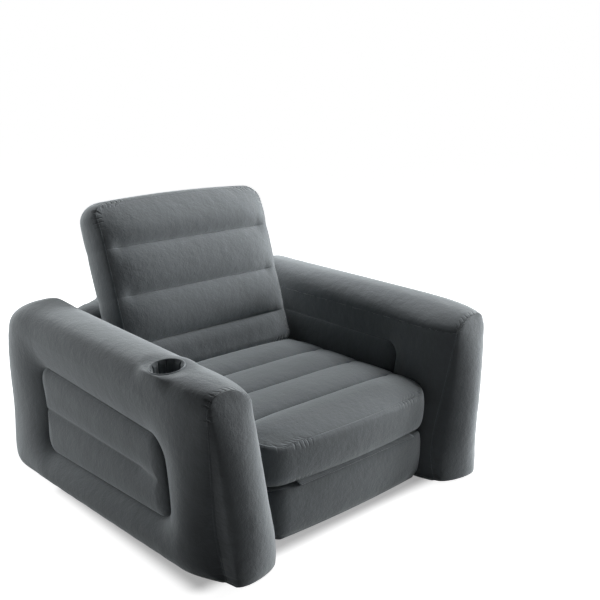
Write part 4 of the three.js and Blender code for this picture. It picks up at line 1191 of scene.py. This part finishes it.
# a circle, extruded and scaled ring by ring up an outline of radius and height, closed at both ends
def turnOutline(name, outline, steps):
    deselectAll()
    radius, height = outline[0]
    bpy.ops.mesh.primitive_circle_add(vertices=steps, radius=radius, fill_type="TRIFAN")
    thing = bpy.context.object
    thing.name = name
    bpy.ops.object.mode_set(mode="EDIT")
    bpy.ops.mesh.select_mode(type="EDGE")
    bpy.ops.mesh.select_all(action="SELECT")
    bpy.ops.transform.translate(value=(0, 0, height))
    bpy.ops.mesh.region_to_loop()
    for nextRadius, nextHeight in outline[1:]:
        bpy.ops.mesh.extrude_edges_move(TRANSFORM_OT_translate={"value": (0, 0, nextHeight - height)})
        scale = nextRadius / radius
        bpy.ops.transform.resize(value=(scale, scale, 1), center_override=(0, 0, nextHeight))
        radius, height = nextRadius, nextHeight
    bpy.ops.mesh.extrude_edges_move()
    bpy.ops.mesh.merge(type="CENTER")
    bpy.ops.mesh.select_all(action="SELECT")
    bpy.ops.mesh.normals_make_consistent(inside=False)
    bpy.ops.object.mode_set(mode="OBJECT")
    return thing


def standInArm(thing):
    for vertex in thing.data.vertices:
        vertex.co.x -= cupSpec["x"]
        vertex.co.y += cupSpec["y"] + frameShift
        vertex.co.z += float(rimHeight(vertex.co.x))


def cutCupPocket(arm):
    spec = cupSpec
    gap, radius = spec["pocketGap"], spec["radius"]
    low = -spec["depth"] - gap
    foot = spec["floorRadius"] + spec["pleatDepth"] - spec["petal"] + spec["pocketFoot"]
    outline = [(foot - gap, low), (foot, low + gap)]
    outline += [(radius + out, up) for out, up in spec["pocketMouth"]]
    cutter = turnOutline("pocketCutter", outline, spec["pocketSteps"])
    standInArm(cutter)
    cut = arm.modifiers.new("pocket", "BOOLEAN")
    cut.operation = "DIFFERENCE"
    cut.solver = "EXACT"
    cut.object = cutter
    deselectAll()
    bpy.context.view_layer.objects.active = arm
    bpy.ops.object.modifier_apply(modifier=cut.name)
    bpy.data.objects.remove(cutter)
    fromSeam = arm.data.attributes["fromSeam"].data
    for k, vertex in enumerate(arm.data.vertices):
        fromRim = math.hypot(vertex.co.x + spec["x"], vertex.co.y - spec["y"] - frameShift) - radius
        if fromRim < spec["plainRun"] and vertex.co.z > spec["plainAbove"]:
            fromSeam[k].value = seamSettings["plain"]


def foldCup(cup):
    spec = cupSpec
    for vertex in cup.data.vertices:
        x, y, height = vertex.co
        reach = math.hypot(x, y)
        if reach < spec["floorRadius"] - spec["foldFloor"]:
            continue
        angle = math.atan2(y, x) % (2 * math.pi)
        slot = math.cos(angle * spec["pleats"] / 2 + spec["pleatTurn"]) ** spec["slotPower"]
        slot *= 1 - spec["uneven"] + spec["uneven"] * math.sin(angle * spec["unevenTurns"] + 1)
        started = min(max(-height - spec["foldTop"], 0) / spec["foldRun"], 1)
        started *= 1 - spec["foldFade"] * min(max(-height / spec["depth"], 0), 1)
        scale = 1 + (spec["pleatDepth"] * slot - spec["petal"]) * started / reach
        vertex.co.x, vertex.co.y = x * scale, y * scale


def buildCup():
    spec = cupSpec
    radius, floorRadius, depth = spec["radius"], spec["floorRadius"], spec["depth"]
    dimpleRadius, under = floorRadius * spec["dimpleShare"], -depth - spec["underDrop"]
    inside = [(dimpleRadius, -depth + spec["dimple"]), (floorRadius - spec["floorRound"], -depth)]
    shares = np.linspace(1, 0, spec["rows"]) ** spec["rowPower"]
    reaches = mix(radius - spec["wallInset"], floorRadius, shares)
    wall = list(zip(reaches, mix(-spec["wallTop"], spec["wallFoot"] - depth, shares)))
    bead = [(radius + out, up) for out, up in spec["bead"]]
    behind = [(reach + spec["thickness"], height - spec["thickness"] / 2) for reach, height in wall[::-1]]
    outside = [(floorRadius - spec["underRound"], under), (dimpleRadius, under)]
    cup = turnOutline("cupWell", inside + wall + bead + behind + outside, spec["steps"])
    foldCup(cup)
    standInArm(cup)
    # the well's wall gets the paler flock, painted light on the same flock
    smoothAndPaint(cup.data, cupFlock)
    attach(cup, "chair")
    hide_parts("cup_well")


print("shaping the skins")
cushionOrigin = backCushionPlace()
paddedPieces = [buildSeat(), buildBackCushion(cushionOrigin), buildBase()]
for name, spec in leafSpecs.items():
    buildLeaf(name, spec)
paddedPieces.append(buildFixedBack(cushionOrigin))
leftArm = buildArm("leftArm", "left_arm_skin", -1)
rightArm = buildArm("rightArm", "right_arm_skin", 1)
paddedPieces += [leftArm, rightArm]
cutCupPocket(leftArm)
buildCup()
for piece in paddedPieces:
    print(piece.name, len(piece.data.vertices), "points")

# what the solids that stay in view wear
# the cup liner also wears the paler flock, painted light on the well's wall
slotFinish = {"flocked_vinyl": flockedWeb, "vinyl_film": film, "cup_liner": cupFlock, "moulded_vinyl": moulded}
for part in frame["record"]["subparts"]:
    for slot in frame["nodes"][part["node"]].material_slots:
        slot.material = flockedWeb if part["node"].endswith("_strip") else slotFinish[part["material_slot"]]
print("the solids in view are finished")
